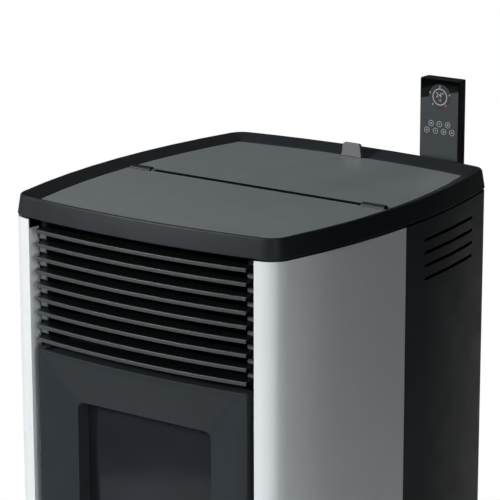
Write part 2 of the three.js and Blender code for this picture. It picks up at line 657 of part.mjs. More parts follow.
// one louvre: a rolled lip on the bowed front line and a blade that rises to the bars behind
function makeGrille() {
  const section = [[0, -0.6], [0, -SLAT_LIP], [SLAT_SHEET, -SLAT_LIP],
    [SLAT_SHEET, -SLAT_SHEET - 0.4], [SLAT_DEPTH, SLAT_RISE - SLAT_SHEET], [SLAT_DEPTH, SLAT_RISE], [0.5, 0]];
  const stations = frontLine(SLAT_WIDTH / 2, SLAT_OFFSET, 10);
  const lastDepth = BAR_FRONT - FIT;
  const rings = stations.map(([x, y]) =>
    section.map(([d, z]) => [x, d === SLAT_DEPTH ? Math.max(y + d, lastDepth - SLAT_DEPTH + d) : y + d, z]));
  for (const i of range(SLAT_COUNT)) {
    const slat = add(stove, `grille_slat_${i + 1}`, loft(rings, false), 'grey');
    slat.position.z = HEIGHT - SLAT_TOP_DROP - i * SLAT_PITCH;
  }
}

// ---------------------------------------------------------------- fire door

const HINGE_PIN_X = -(DOOR_WIDTH / 2 - 10);
const HINGE_PIN_Y = frontY(HINGE_PIN_X, DOOR_OFFSET) + 6.5;
const PIN_RADIUS = 3;
const PIN_DEPTH = 16;
const SPINDLE_RADIUS = 4;
const SPINDLE_X = DOOR_WIDTH / 2 - RIM_SIDE / 2;
const SPINDLE_Z = (DOOR_TOP + DOOR_BOTTOM) / 2 - HANDLE_DROP;
const GLASS_LAP = 16;            // glass beyond the window edge
const DOOR_BACK_LAP = 44;        // flat flange behind the window, carries glass and gasket
const FLANGE_HALF = WINDOW_WIDTH / 2 + DOOR_BACK_LAP;

// a closed ring in the plane of the door: half width, top, bottom, corner radius; depth is a number or y(x)
function doorRing(half, top, bottom, radius, depth) {
  const yAt = typeof depth === 'function' ? depth : () => depth;
  const acrossSteps = 6;
  const corners = [[half - radius, bottom + radius, -90], [half - radius, top - radius, 0],
    [-half + radius, top - radius, 90], [-half + radius, bottom + radius, 180]];
  const points = [];
  corners.forEach(([cx, cz, start], corner) => {
    for (const i of range(4)) {
      const angle = radians(start + 30 * i);
      points.push([cx + radius * Math.cos(angle), cz + radius * Math.sin(angle)]);
    }
    if (corner === 1 || corner === 3) {
      const [x, z] = points[points.length - 1];
      const target = -x;
      for (const i of range(acrossSteps - 1)) points.push([lerp(x, target, (i + 1) / acrossSteps), z]);
    }
  });
  return points.map(([x, z]) => [x, yAt(x), z]);
}

function windowRing(grow, depth, radius = WINDOW_RADIUS + grow) {
  return doorRing(WINDOW_WIDTH / 2 + grow, DOOR_TOP - WINDOW_EDGE + grow, DOOR_BOTTOM + WINDOW_EDGE - grow,
    radius, depth);
}

function edgeRing(insetSide, insetTop, depth, radius) {
  return doorRing(DOOR_WIDTH / 2 - insetSide, DOOR_TOP - insetTop, DOOR_BOTTOM + insetTop, radius, depth);
}

function makeDoor() {
  const door = groupAt(HINGE_PIN_X, HINGE_PIN_Y, 0);
  const place = (geometry) => geometry.translate(-HINGE_PIN_X, -HINGE_PIN_Y, 0);
  const front = (x) => frontY(x, DOOR_OFFSET);
  const behind = (x) => frontY(x, DOOR_OFFSET) + CASTING;
  const eased = (x) => frontY(x, DOOR_OFFSET) + 1;
  const rings = [
    edgeRing(0, 0, DOOR_BACK, 1.5),
    edgeRing(0, 0, eased, 1.5),
    edgeRing(1, 1, front, 1.5),
    edgeRing(RIM_SIDE, RIM_TOP, front, 3),
    windowRing(0, WINDOW_EDGE_Y),
    windowRing(0, DOOR_BACK),
    windowRing(DOOR_BACK_LAP, DOOR_BACK, 20),
    windowRing(DOOR_BACK_LAP, DOOR_BACK - CASTING, 20),
    windowRing(CASTING + 2, DOOR_BACK - CASTING),
    windowRing(CASTING + 2, WINDOW_EDGE_Y + CASTING + 1),
    edgeRing(RIM_SIDE, RIM_TOP, behind, 3),
    edgeRing(CASTING, CASTING, behind, 1.5),
    edgeRing(CASTING, CASTING, DOOR_BACK, 1.5),
  ];
  const bore = SPINDLE_RADIUS + RUNNING / 2;
  const spindleHole = rod('y', bore, frontY(0, DOOR_OFFSET) - 1, DOOR_BACK + 1, SPINDLE_X, SPINDLE_Z, 16);
  const pinHoles = [[DOOR_BOTTOM - 1, DOOR_BOTTOM + PIN_DEPTH], [DOOR_TOP - PIN_DEPTH, DOOR_TOP + 1]]
    .map(([a, b]) => rod('z', PIN_RADIUS + RUNNING / 2, a, b, HINGE_PIN_X, HINGE_PIN_Y, 14));
  const bosses = [DOOR_BOTTOM + 2, DOOR_TOP - PIN_DEPTH - 4].map((z) =>
    box(HINGE_PIN_X - 6, HINGE_PIN_X + 7, HINGE_PIN_Y - 4, DOOR_BACK - 14, z, z + PIN_DEPTH + 2));
  add(door, 'fire_door', place(cut(fuse(loft(rings), ...bosses), spindleHole, ...pinHoles)), 'grey');

  const glassFront = DOOR_BACK + FIT;
  const glassBack = glassFront + GLASS;
  const pane = windowRing(GLASS_LAP, 0, 8).map(([x, , z]) => [x, z]);
  add(door, 'door_glass', place(slab(pane, glassFront, glassBack)), 'glass');

  const lip = glassBack + FIT;
  const retainer = loft([
    windowRing(4, lip + 2), windowRing(4, lip), windowRing(GLASS_LAP + FIT, lip, 8),
    windowRing(GLASS_LAP + FIT, glassFront, 8), windowRing(GLASS_LAP + 6, glassFront, 10),
    windowRing(GLASS_LAP + 6, lip + 2, 10)]);
  add(door, 'glass_retainer', place(retainer), 'steel');

  const ropeCentre = GLASS_LAP + 6 + GASKET / 2 + 5;
  const ropeRings = range(6).map((i) => {
    const angle = radians(60 * i + 30);
    const grow = ropeCentre + (GASKET / 2) * Math.cos(angle);
    return windowRing(grow, DOOR_BACK + FIT + (GASKET / 2) * (1 + Math.sin(angle)), 24 + grow - ropeCentre);
  });
  add(door, 'door_gasket', place(loft(ropeRings)), 'rope');

  makeDoorHandle(door, place);
  makeDoorPins();
}

// lever, spindle and cam tongue turn together in the right hand rim of the door
function makeDoorHandle(door, place) {
  const roseRadius = 9;
  const surface = frontY(SPINDLE_X - roseRadius, DOOR_OFFSET);
  const leverBack = surface - 3.5;
  const leverFront = leverBack - 10;
  const lever = slab(leverFace(9, 6.5, 104), leverFront, leverBack);
  const spindle = rod('y', SPINDLE_RADIUS, leverBack - 1, DOOR_BACK + 4.2, 0, 0, 16);
  const rose = rod('y', roseRadius, leverBack - 0.5, surface - FIT, 0, 0, 20);
  const handle = fuse(lever, spindle, rose).translate(SPINDLE_X, 0, SPINDLE_Z);
  add(door, 'door_handle', place(handle), 'black');

  const tongueFront = DOOR_BACK + 0.8;
  const tongue = slab([[-7, -7], [7, -7], [9, 0], [7, 7], [-7, 7]], tongueFront, tongueFront + 3);
  const hub = rod('y', SPINDLE_RADIUS + FIT, tongueFront - 1, tongueFront + 4, 0, 0, 16);
  add(door, 'door_latch', place(cut(tongue, hub).translate(SPINDLE_X, 0, SPINDLE_Z)), 'steel');
}

// a lever seen from the front: a round head that tapers to a round tip below
function leverFace(head, tip, length) {
  const arc = (radius, z, from, to) => range(7).map((i) => {
    const angle = radians(lerp(from, to, i / 6));
    return [radius * Math.cos(angle), z + radius * Math.sin(angle)];
  });
  return [...arc(head, 0, 0, 180), ...arc(tip, -length, 180, 360)];
}

function makeDoorPins() {
  const reach = SEAL_PLANE - FIT;
  const [x, y] = [HINGE_PIN_X, HINGE_PIN_Y];
  const arm = [[x - 7, y + 2], [x - 4, y - 4], [x + 4, y - 4], [x + 8, y + 2], [x + 8, reach],
    [x - 7, reach]];
  const gap = 1.3;
  const sheet = 2.6;
  const inDoor = PIN_DEPTH - 2;
  const makePin = (name, armBottom, pinFrom, pinTo) => {
    const pin = rod('z', PIN_RADIUS, pinFrom, pinTo, x, y, 14);
    add(stove, name, fuse(prism(arm, armBottom, armBottom + sheet), pin), 'black');
  };
  makePin('door_hinge_upper', DOOR_TOP + gap, DOOR_TOP - inDoor, DOOR_TOP + gap + 1);
  makePin('door_hinge_lower', DOOR_BOTTOM - gap - sheet, DOOR_BOTTOM - gap - 1, DOOR_BOTTOM + inDoor);
}

// ---------------------------------------------------------------- ash drawer and kick panel

const ASH_TOP = DOOR_BOTTOM - JOINT_GAP;
const ASH_BOTTOM = ASH_TOP - ASH_FRONT_HEIGHT;
const DRAWER_HALF = FIREBOX_WIDTH / 2 - 12;
const DRAWER_FLOOR = ASH_BOTTOM + 8;
const DRAWER_HEIGHT = 92;
const DRAWER_BACK = FIREBOX_BACK - DRAWER_BACK_GAP;
const DRAWER_SHEET = 1.5;
const FRONT_BLOCK_BACK = DOOR_BACK;

function bowedBlock(half, back, z0, z1) {
  return prism([...frontLine(half, DOOR_OFFSET, 12), [half, back], [-half, back]], z0, z1);
}

function makeAshDrawer() {
  const drawer = groupAt(0, 0, 0);
  const half = DOOR_WIDTH / 2;
  const block = bowedBlock(half, FRONT_BLOCK_BACK, ASH_BOTTOM, ASH_TOP);
  const gripRadius = 15;
  const pocket = box(-half + CASTING, half - CASTING, frontY(half, DOOR_OFFSET) + CASTING,
    FRONT_BLOCK_BACK + 1, ASH_BOTTOM + CASTING, ASH_TOP - CASTING - gripRadius + 1);
  const grip = rod('x', gripRadius, -70, 70, frontY(0, DOOR_OFFSET) - 3, ASH_TOP + 2, 20);
  add(drawer, 'ash_drawer_front', cut(block, pocket, grip), 'grey');

  const front = FRONT_BLOCK_BACK + FIT;
  const shell = box(-DRAWER_HALF, DRAWER_HALF, front, DRAWER_BACK, DRAWER_FLOOR,
    DRAWER_FLOOR + DRAWER_HEIGHT);
  const hollow = box(-DRAWER_HALF + DRAWER_SHEET, DRAWER_HALF - DRAWER_SHEET, front + DRAWER_SHEET,
    DRAWER_BACK - DRAWER_SHEET, DRAWER_FLOOR + DRAWER_SHEET, DRAWER_FLOOR + DRAWER_HEIGHT + 1);
  add(drawer, 'ash_drawer', cut(shell, hollow), 'steel');
}

function makeKickPanel() {
  const half = DOOR_WIDTH / 2;
  const top = ASH_BOTTOM - JOINT_GAP;
  const outer = frontLine(half, DOOR_OFFSET, 12);
  const inner = frontLine(half - SKIN, DOOR_OFFSET - SKIN, 12).reverse();
  const end = SEAL_PLANE - FIT;
  const plan = [[-half, end], ...outer, [half, end], [half - SKIN, end], ...inner, [-half + SKIN, end]];
  add(stove, 'kick_panel', prism(plan, TRAY_HEIGHT + TRAY_FLANGE + FIT, top), 'grey');
}

// ---------------------------------------------------------------- firebox

const CHUTE_HALF = AUGER_TUBE_RADIUS + FIT + 0.7 + CHUTE_SHEET;
const MOUTH_Z = AUGER_Z + AUGER_AHEAD * Math.sin(radians(AUGER_TILT));
const CHUTE_Z = [MOUTH_Z - CHUTE_BELOW, MOUTH_Z + CHUTE_ABOVE];

function makeFirebox() {
  const half = FIREBOX_WIDTH / 2;
  const t = BOILER_PLATE;
  const skirt = DOOR_BOTTOM + 5;
  const foot = TRAY_HEIGHT + TRAY_SHEET + FIT;
  const shell = box(-half, half, SEAL_PLANE, FIREBOX_BACK, skirt, FIREBOX_TOP);
  const flangeTop = DOOR_TOP - WINDOW_EDGE + DOOR_BACK_LAP;
  const flangeBottom = DOOR_BOTTOM + WINDOW_EDGE - DOOR_BACK_LAP;
  const flange = box(-FLANGE_HALF, FLANGE_HALF, SEAL_PLANE, SEAL_PLANE + t, flangeBottom, flangeTop);
  const legs = [-1, 1].map((side) => {
    const [from, to] = onSide(side, half - t, half);
    return box(from, to, SEAL_PLANE + 20, FIREBOX_BACK, foot, skirt + 1);
  });
  const runners = [-1, 1].map((side) => {
    const [from, to] = onSide(side, DRAWER_HALF - 6, half);
    return box(from, to, SEAL_PLANE + 20, FIREBOX_BACK, DRAWER_FLOOR - FIT - 3, DRAWER_FLOOR - FIT);
  });
  const fire = box(-half + t, half - t, SEAL_PLANE - 1, FIREBOX_BACK - t, FIRE_FLOOR, FIREBOX_TOP - t);
  const under = box(-half + t, half - t, SEAL_PLANE + t, FIREBOX_BACK - t, skirt - 1, FIRE_FLOOR - t);
  const potHole = rod('z', POT_RADIUS + RUNNING, FIRE_FLOOR - t - 1, FIRE_FLOOR + 1, 0, POT_Y, 24);
  const slotX = half - ASH_SLOT.inset;
  const ashSlots = [-slotX, slotX].map((x) =>
    box(x - ASH_SLOT.width / 2, x + ASH_SLOT.width / 2, POT_Y - ASH_SLOT.length / 2,
      POT_Y + ASH_SLOT.length / 2, FIRE_FLOOR - t - 1, FIRE_FLOOR + 1));
  const chute = box(-CHUTE_HALF - FIT, CHUTE_HALF + FIT, FIREBOX_BACK - t - 1, FIREBOX_BACK + 1,
    CHUTE_Z[0] - FIT, CHUTE_Z[1] + FIT);
  const smokePort = rod('y', SMOKE_PORT_RADIUS, FIREBOX_BACK - t - 1, FIREBOX_BACK + 1, FLUE_X,
    SMOKE_PORT_Z, 16);
  const airPort = rod('y', AIR_RADIUS, FIREBOX_BACK - t - 1, FIREBOX_BACK + 1, AIR_X, AIR_Z, 20);
  const body = fuse(shell, flange, ...legs, ...runners);
  add(stove, 'firebox', cut(body, fire, under, potHole, ...ashSlots, chute, smokePort, airPort), 'iron');
}

function makeFireInside() {
  const half = FIREBOX_WIDTH / 2 - BOILER_PLATE - FIT;
  const back = FIREBOX_BACK - BOILER_PLATE - FIT;
  const front = SEAL_PLANE + 6;
  const inner = half - LINER;
  const plan = [[-half, front], [-inner, front], [-inner, back - LINER], [inner, back - LINER],
    [inner, front], [half, front], [half, back], [-half, back]];
  const top = FIREBOX_TOP - BOILER_PLATE - FIT;
  const block = prism(plan, FIRE_FLOOR + FIT, top);
  const face = back - LINER - 1;
  const chute = box(-CHUTE_HALF - FIT, CHUTE_HALF + FIT, face, back + 1, CHUTE_Z[0] - FIT, CHUTE_Z[1] + FIT);
  const smokePort = rod('y', SMOKE_PORT_RADIUS, face, back + 1, FLUE_X, SMOKE_PORT_Z, 16);
  add(stove, 'fire_liner', cut(block, chute, smokePort), 'liner');

  const rim = FIRE_FLOOR + FIT;
  const r = POT_RADIUS;
  const floor = rim - POT_DEPTH;
  const profile = [[0, floor], [r - 12, floor], [r - 2, rim], [r + 9, rim], [r + 9, rim + 3],
    [r - 4, rim + 3], [r - 12 - POT_WALL, floor + POT_WALL], [0, floor + POT_WALL]];
  const holes = range(7).map((i) => {
    const ring = i === 0 ? 0 : 24;
    const angle = radians(60 * i);
    return rod('z', 4, floor - 1, floor + POT_WALL + 1, ring * Math.cos(angle), ring * Math.sin(angle), 8);
  });
  const sideHole = rod('y', 7, 30, r + 10, 0, rim - 38, 12);
  const pot = add(stove, 'burn_pot', cut(lathe(profile, 18), ...holes, sideHole), 'iron');
  pot.position.set(0, POT_Y, 0);

  const igniterZ = rim - 38;
  const igniter = fuse(rod('y', 5, POT_Y + r - 10, FIREBOX_BACK - BOILER_PLATE - 14, 0, igniterZ, 14),
    rod('y', 9, FIREBOX_BACK - BOILER_PLATE - 15, FIREBOX_BACK - BOILER_PLATE - FIT, 0, igniterZ, 16));
  add(stove, 'igniter', igniter, 'steel');
}

// finned heat exchanger on the firebox roof, behind the grille
function makeHeatExchanger() {
  const half = FIREBOX_WIDTH / 2 - 6;
  const base = FIREBOX_TOP + FIT;
  const fins = 11;
  const finHeight = 74;
  const finThickness = 3;
  const comb = [[-half, base], [half, base]];
  const pitch = (2 * half - finThickness) / (fins - 1);
  for (const i of range(fins)) {
    const right = half - i * pitch;
    comb.push([right, base + finHeight], [right - finThickness, base + finHeight]);
    if (i < fins - 1) comb.push([right - finThickness, base + 5], [right - pitch, base + 5]);
  }
  const clean = comb.filter(([x, z], i) => i === 0 || x !== comb[i - 1][0] || z !== comb[i - 1][1]);
  add(stove, 'heat_exchanger', slab(clean, SEAL_PLANE + 24, FIREBOX_BACK - 6), 'iron');
}

// ---------------------------------------------------------------- hopper, guard, auger and chute

const tilt = radians(AUGER_TILT);
const AUGER_LENGTH = AUGER_BEHIND + AUGER_AHEAD;
const SCREW_RADIUS = AUGER_TUBE_RADIUS - AUGER_TUBE_WALL - SCREW_CLEARANCE;

// auger frame: origin at the rear end of the tube, +Z along the axis, rising to the front
function augerGroup() {
  const group = groupAt(0, OUTLET_Y + AUGER_BEHIND * Math.cos(tilt), AUGER_Z - AUGER_BEHIND * Math.sin(tilt));
  group.rotation.x = Math.PI / 2 - tilt;
  group.updateMatrix();
  return group;
}

// the space that the auger tube takes in what surrounds it
const tubeClearance = (auger) =>
  rod('z', AUGER_TUBE_RADIUS + FIT, -FIT, AUGER_LENGTH + FIT, 0, 0, 24).applyMatrix4(auger.matrix);

function rectRing(x0, x1, y0, y1, z) {
  return [[x0, y0, z], [x1, y0, z], [x1, y1, z], [x0, y1, z]];
}

function makeHopper(auger) {
  const w = HOPPER_WIDTH / 2;
  const s = HOPPER_SHEET;
  const flangeZ = LEDGE_UNDER - FIT;
  const flangeHalf = sideX(0, LEDGE_INNER) + 6;
  const o = OUTLET / 2;
  const mouth = (grow, z) => rectRing(-w - grow, w + grow, HOPPER_FRONT - grow, HOPPER_BACK + grow, z);
  const outlet = (grow, z) => rectRing(-o - grow, o + grow, OUTLET_Y - o - grow, OUTLET_Y + o + grow, z);
  const rings = [
    mouth(-s, flangeZ),
    rectRing(-flangeHalf, flangeHalf, HOPPER_FRONT - 14, HOPPER_BACK + 16, flangeZ),
    rectRing(-flangeHalf, flangeHalf, HOPPER_FRONT - 14, HOPPER_BACK + 16, flangeZ - 2),
    mouth(0, flangeZ - 2),
    mouth(0, HOPPER_TAPER_TOP),
    outlet(0, HOPPER_TAPER_END),
    outlet(0, AUGER_Z),
    outlet(-s, AUGER_Z),
    outlet(-s, HOPPER_TAPER_END + 1),
    mouth(-s, HOPPER_TAPER_TOP),
  ];
  add(stove, 'hopper', cut(loft(rings), tubeClearance(auger)), 'steel');
  makeHopperGuard(w - s - FIT, flangeZ - 60);
}

// welded rod guard that lies in the hopper mouth
function makeHopperGuard(half, z) {
  const y0 = HOPPER_FRONT + HOPPER_SHEET + FIT;
  const y1 = HOPPER_BACK - HOPPER_SHEET - FIT;
  const band = 3;
  const hole = box(-half + band, half - band, y0 + band, y1 - band, z - 1, z + 9);
  const rim = cut(box(-half, half, y0, y1, z, z + 8), hole);
  const gap = 60;
  const count = Math.floor((2 * half) / gap);
  const bars = range(count - 1).map((i) => {
    const x = -half + ((i + 1) * 2 * half) / count;
    return box(x - 1.5, x + 1.5, y0 + 1, y1 - 1, z + 2, z + 5);
  });
  const cross = [1, 2].map((i) => {
    const y = lerp(y0, y1, i / 3);
    return box(-half + 1, half - 1, y - 1.5, y + 1.5, z + 3, z + 6);
  });
  add(stove, 'hopper_guard', fuse(rim, ...bars, ...cross), 'steel');
}

// helical flight: a thin ribbon wound round the shaft
function flight(inner, outer, pitch, thickness, length) {
  const stepsPerTurn = 12;
  const turns = (length - thickness) / pitch;
  const steps = Math.round(turns * stepsPerTurn);
  const rings = range(steps + 1).map((i) => {
    const t = i / steps;
    const angle = t * turns * 2 * Math.PI;
    const z = t * turns * pitch;
    const [c, s] = [Math.cos(angle), Math.sin(angle)];
    return [[inner * c, inner * s, z], [outer * c, outer * s, z], [outer * c, outer * s, z + thickness],
      [inner * c, inner * s, z + thickness]];
  });
  return loft(rings, false);
}

function makeAuger(auger) {
  const tubeProfile = [[AUGER_TUBE_RADIUS - AUGER_TUBE_WALL, 0], [AUGER_TUBE_RADIUS, 0],
    [AUGER_TUBE_RADIUS, AUGER_LENGTH], [AUGER_TUBE_RADIUS - AUGER_TUBE_WALL, AUGER_LENGTH]];
  const o = OUTLET / 2 - HOPPER_SHEET;
  const toTube = auger.matrix.clone().invert();
  const inlet = box(-o, o, OUTLET_Y - o, OUTLET_Y + o, AUGER_Z, AUGER_Z + 80).applyMatrix4(toTube);
  add(auger, 'auger_tube', cut(lathe(tubeProfile, 24), inlet), 'steel');

  const flightStart = 6;
  const flightLength = AUGER_LENGTH - flightStart - 4;
  const spiral = flight(SCREW_SHAFT - 2, SCREW_RADIUS, SCREW_PITCH, SCREW_FLIGHT, flightLength);
  spiral.translate(0, 0, flightStart);
  const shaft = rod('z', SCREW_SHAFT, -16, AUGER_LENGTH - 2, 0, 0, 12);
  add(auger, 'auger_screw', fuse(shaft, spiral), 'steel');

  const flange = rod('z', AUGER_TUBE_RADIUS + 5, -7, -FIT, 0, 0, 20);
  const gearbox = box(-30, 30, -32, 32, -36, -6);
  const motor = rod('z', 24, -64, -35, 0, -4, 18);
  const socket = rod('z', SCREW_SHAFT + RUNNING, -17, 1, 0, 0, 12);
  add(auger, 'auger_motor', cut(fuse(flange, gearbox, motor), socket), 'black');
}

// drop chute: a box duct that takes the mouth of the tube and leads through the firebox wall
function makeChute(auger) {
  const t = CHUTE_SHEET;
  const mouthY = OUTLET_Y - AUGER_AHEAD * Math.cos(tilt);
  const rear = mouthY + AUGER_TUBE_RADIUS * Math.sin(tilt);
  const end = FIREBOX_BACK - BOILER_PLATE - LINER - 6;
  const [z0, z1] = CHUTE_Z;
  const duct = box(-CHUTE_HALF, CHUTE_HALF, end, rear + t, z0, z1);
  const bore = box(-CHUTE_HALF + t, CHUTE_HALF - t, end - 1, rear, z0 + t, z1 - t);
  add(stove, 'pellet_chute', cut(duct, bore, tubeClearance(auger)), 'steel');
}

// ---------------------------------------------------------------- fans

const SMOKE_FAN_BACK = BACK_PANEL_Y - SMOKE_FAN_GAP;

// drum on a pedestal, with a box duct that brings the smoke down from the port in the firebox wall
function makeSmokeFan() {
  const [x, z, radius] = [FLUE_X, FLUE_Z, SMOKE_FAN_RADIUS];
  const y1 = SMOKE_FAN_BACK;
  const y0 = y1 - SMOKE_FAN_DEPTH;
  const wall = 3;
  const half = SMOKE_PORT_RADIUS + 5;
  const front = FIREBOX_BACK + FIT;
  const depth = 42;
  const top = SMOKE_PORT_Z + half;
  const foot = TRAY_HEIGHT + TRAY_SHEET + FIT;
  const duct = (inset, end, roof) =>
    box(x - half + inset, x + half - inset, front + inset, end, z - half + inset, roof - inset);
  const rise = (inset) => duct(inset, front + depth - inset, top);
  const run = (inset, end) => duct(inset, end, z + half);
  const drum = rod('y', radius, y0, y1, x, z, 20);
  const pedestal = [-40, 36].map((dx) => box(x + dx, x + dx + 4, y0 + 10, y1 - 10, foot, z - 50));
  const hollow = rod('y', radius - wall, y0 + wall, y1 - wall, x, z, 20);
  const eye = rod('y', SMOKE_PORT_RADIUS, y0 - 1, y0 + wall + 1, x, z, 16);
  const port = rod('y', SMOKE_PORT_RADIUS, front - 1, front + wall + 1, x, SMOKE_PORT_Z, 16);
  const outlet = rod('y', FLUE_RADIUS - 2, y1 - wall - 1, y1 + 1, x, z, 20);
  const body = fuse(drum, rise(0), run(0, y0 + 1), ...pedestal);
  add(stove, 'smoke_fan_housing', cut(body, hollow, rise(wall), run(wall, y0), eye, port, outlet), 'iron');

  const blades = range(8).map((i) => box(10, radius - 12, -1.5, 1.5, 0, 26).rotateZ(radians(45 * i)));
  const disc = rod('z', radius - 12, 26, 29, 0, 0, 20);
  const hub = rod('z', 12, 0, 29, 0, 0, 12);
  const wheel = groupAt(x, y0 + wall + 6, z);
  wheel.rotation.x = -Math.PI / 2;
  add(wheel, 'smoke_fan_wheel', fuse(hub, disc, ...blades), 'steel');
}

function makeFlue() {
  const start = SMOKE_FAN_BACK + FIT;
  const end = BACK_PANEL_Y + FLUE_END;
  const r = FLUE_RADIUS;
  const bore = r - PIPE_SHEET;
  const pipe = lathe([[bore, start], [r + 6, start], [r + 6, start + 3], [r, start + 3], [r, end - 3],
    [r - 0.6, end], [bore, end]], 24);
  add(stove, 'flue_outlet', pipe.rotateX(-Math.PI / 2).translate(FLUE_X, 0, FLUE_Z), 'steel');

  const airEnd = BACK_PANEL_Y + AIR_END;
  const airStart = FIREBOX_BACK + FIT;
  const a = AIR_RADIUS;
  const airBore = a - PIPE_SHEET;
  const air = lathe([[airBore, airStart], [a + 8, airStart], [a + 8, airStart + 3], [a, airStart + 3],
    [a, airEnd], [airBore, airEnd]], 16);
  add(stove, 'air_inlet', air.rotateX(-Math.PI / 2).translate(AIR_X, 0, AIR_Z), 'steel');
}

// cross-flow blower under the firebox: a scroll open at the bottom and the top, and a bladed drum
function makeRoomFan() {
  const [y, z] = [BLOWER_Y, BLOWER_Z];
  const half = BLOWER_HALF;
  const wall = 2;
  const outer = ROTOR_RADIUS + 14;
  const arc = (radius, from, to, steps) => range(steps + 1).map((i) => {
    const angle = radians(lerp(from, to, i / steps));
    return [y + radius * Math.cos(angle), z + radius * Math.sin(angle)];
  });
  const top = z + outer + 22;
  const scrollOut = [...arc(outer, -110, 0, 9), [y + outer, top]];
  const scrollIn = [[y + outer - wall, top], ...arc(outer - wall, 0, -110, 9)];
  const scroll = sideSlab([...scrollOut, ...scrollIn], -half, half);
  const frontWall = sideSlab([[y - outer - 14, top], [y - outer - 12, top], [y - outer + 2, z + 20],
    [y - outer - 2, z + 18]], -half, half);
  const cheeks = [-half - wall, half].map((x) =>
    box(x, x + wall, y - outer - 18, y + outer + 2, z - outer + 2, top));
  const shaftHoles = rod('x', 7, -half - 10, half + 10, y, z, 16);
  const foot = box(-half - wall, half + wall, y + outer - 1, y + outer + 1,
    TRAY_HEIGHT + TRAY_SHEET + FIT, z);
  add(stove, 'room_fan_housing', cut(fuse(scroll, frontWall, ...cheeks, foot), shaftHoles), 'steel');

  const fan = groupAt(0, y, z);
  fan.rotation.y = Math.PI / 2;
  const length = half - 6;
  const rotor = ROTOR_RADIUS;
  const discs = [-length, length].map((x) => rod('z', rotor, x - 1, x + 1, 0, 0, 18));
  const bladeCount = 14;
  const blades = range(bladeCount).map((i) =>
    box(rotor - 12, rotor - 2, -0.8, 0.8, -length, length).rotateZ(radians((i * 360) / bladeCount)));
  const shaft = rod('z', 5, -length - 16, length + 16, 0, 0, 16);
  add(fan, 'room_fan_rotor', fuse(shaft, ...discs, ...blades), 'steel');
}

// ---------------------------------------------------------------- back

function makeBack() {
  const top = LEDGE_UNDER - FIT;
  const foot = TRAY_HEIGHT + TRAY_SHEET + FIT;
  const y0 = BACK_PANEL_Y;
  const sheet = box(-BACK_PANEL_HALF, BACK_PANEL_HALF, y0, y0 + SKIN, foot, top);
  const lip = box(-BACK_PANEL_HALF + 20, BACK_PANEL_HALF - 20, y0 - 14, y0 + 1, top - SKIN, top);
  const flue = rod('y', FLUE_RADIUS + 2, y0 - 1, y0 + SKIN + 1, FLUE_X, FLUE_Z, 32);
  const air = rod('y', AIR_RADIUS + 2, y0 - 1, y0 + SKIN + 1, AIR_X, AIR_Z, 24);
  const inlet = box(INLET_X - 24, INLET_X + 24, y0 - 1, y0 + SKIN + 1, INLET_Z - 14, INLET_Z + 14);
  const vents = range(VENT_COUNT).map((i) => {
    const z = VENT_FROM + VENT_PITCH * i;
    return box(-VENT_LENGTH / 2, VENT_LENGTH / 2, y0 - 1, y0 + SKIN + 1, z, z + VENT_HEIGHT);
  });
  add(stove, 'back_panel', cut(fuse(sheet, lip), flue, air, inlet, ...vents), 'black');
}

// power socket with its rocker, and the control board
function makeElectrics() {
  const y0 = BACK_PANEL_Y - 22;
  const y1 = BACK_PANEL_Y + SKIN + FIT;
  const body = fuse(box(INLET_X - 23.5, INLET_X + 23.5, y0, y1 + 1, INLET_Z - 13.5, INLET_Z + 13.5),
    box(INLET_X - 29, INLET_X + 29, y1, y1 + 3, INLET_Z - 17, INLET_Z + 17));
  const socket = box(INLET_X - 21, INLET_X + 5, y1 - 16, y1 + 5, INLET_Z - 10, INLET_Z + 10);
  const blades = [-14, -8, -2].map((dx) =>
    box(INLET_X + dx - 1, INLET_X + dx + 1, y1 - 17, y1 - 3, INLET_Z - 2, INLET_Z + 2));
  const well = box(INLET_X + 9, INLET_X + 22, y1 - 11, y1 + 5, INLET_Z - 11, INLET_Z + 11);
  add(stove, 'power_inlet', fuse(cut(body, socket, well), ...blades), 'plastic');

  const rocker = groupAt(INLET_X + 15.5, y1 - 3, INLET_Z);
  rocker.rotation.x = radians(-9);
  const profile = [[-5, -7], [4, -9.4], [5.4, 0], [4, 9.4], [-5, 7]];
  add(rocker, 'power_switch', sideSlab(profile, -5.6, 5.6), 'gloss');

  const x = WIDTH / 2 - BOARD_INSET;
  const [boardLength, boardHeight] = [110, 140];
  const board = box(x, x + 2, BOARD_Y, BOARD_Y + boardLength, BOARD_Z, BOARD_Z + boardHeight);
  // each part on it: how far it stands out, then from and to along the board and up it
  const parts = [[22, 10, 45, 10, 45], [12, 60, 100, 18, 40], [16, 15, 35, 70, 120], [9, 50, 102, 72, 96],
    [14, 50, 98, 112, 128]].map(([out, from, to, low, high]) =>
    box(x - out, x + 1, BOARD_Y + from, BOARD_Y + to, BOARD_Z + low, BOARD_Z + high));
  const post = 3;
  const inset = 6;
  const corners = [BOARD_Z + inset, BOARD_Z + boardHeight - inset].flatMap((z) =>
    [BOARD_Y + inset, BOARD_Y + boardLength - inset].map((y) => [y, z]));
  const posts = corners.map(([y, z]) =>
    rod('x', post, x + 1, sideX(y + post, INSIDE_SKIN - 3 * FIT), y, z, 8));
  add(stove, 'control_board', fuse(board, ...parts, ...posts), 'board');
}

// ---------------------------------------------------------------- raised control panel and its guide

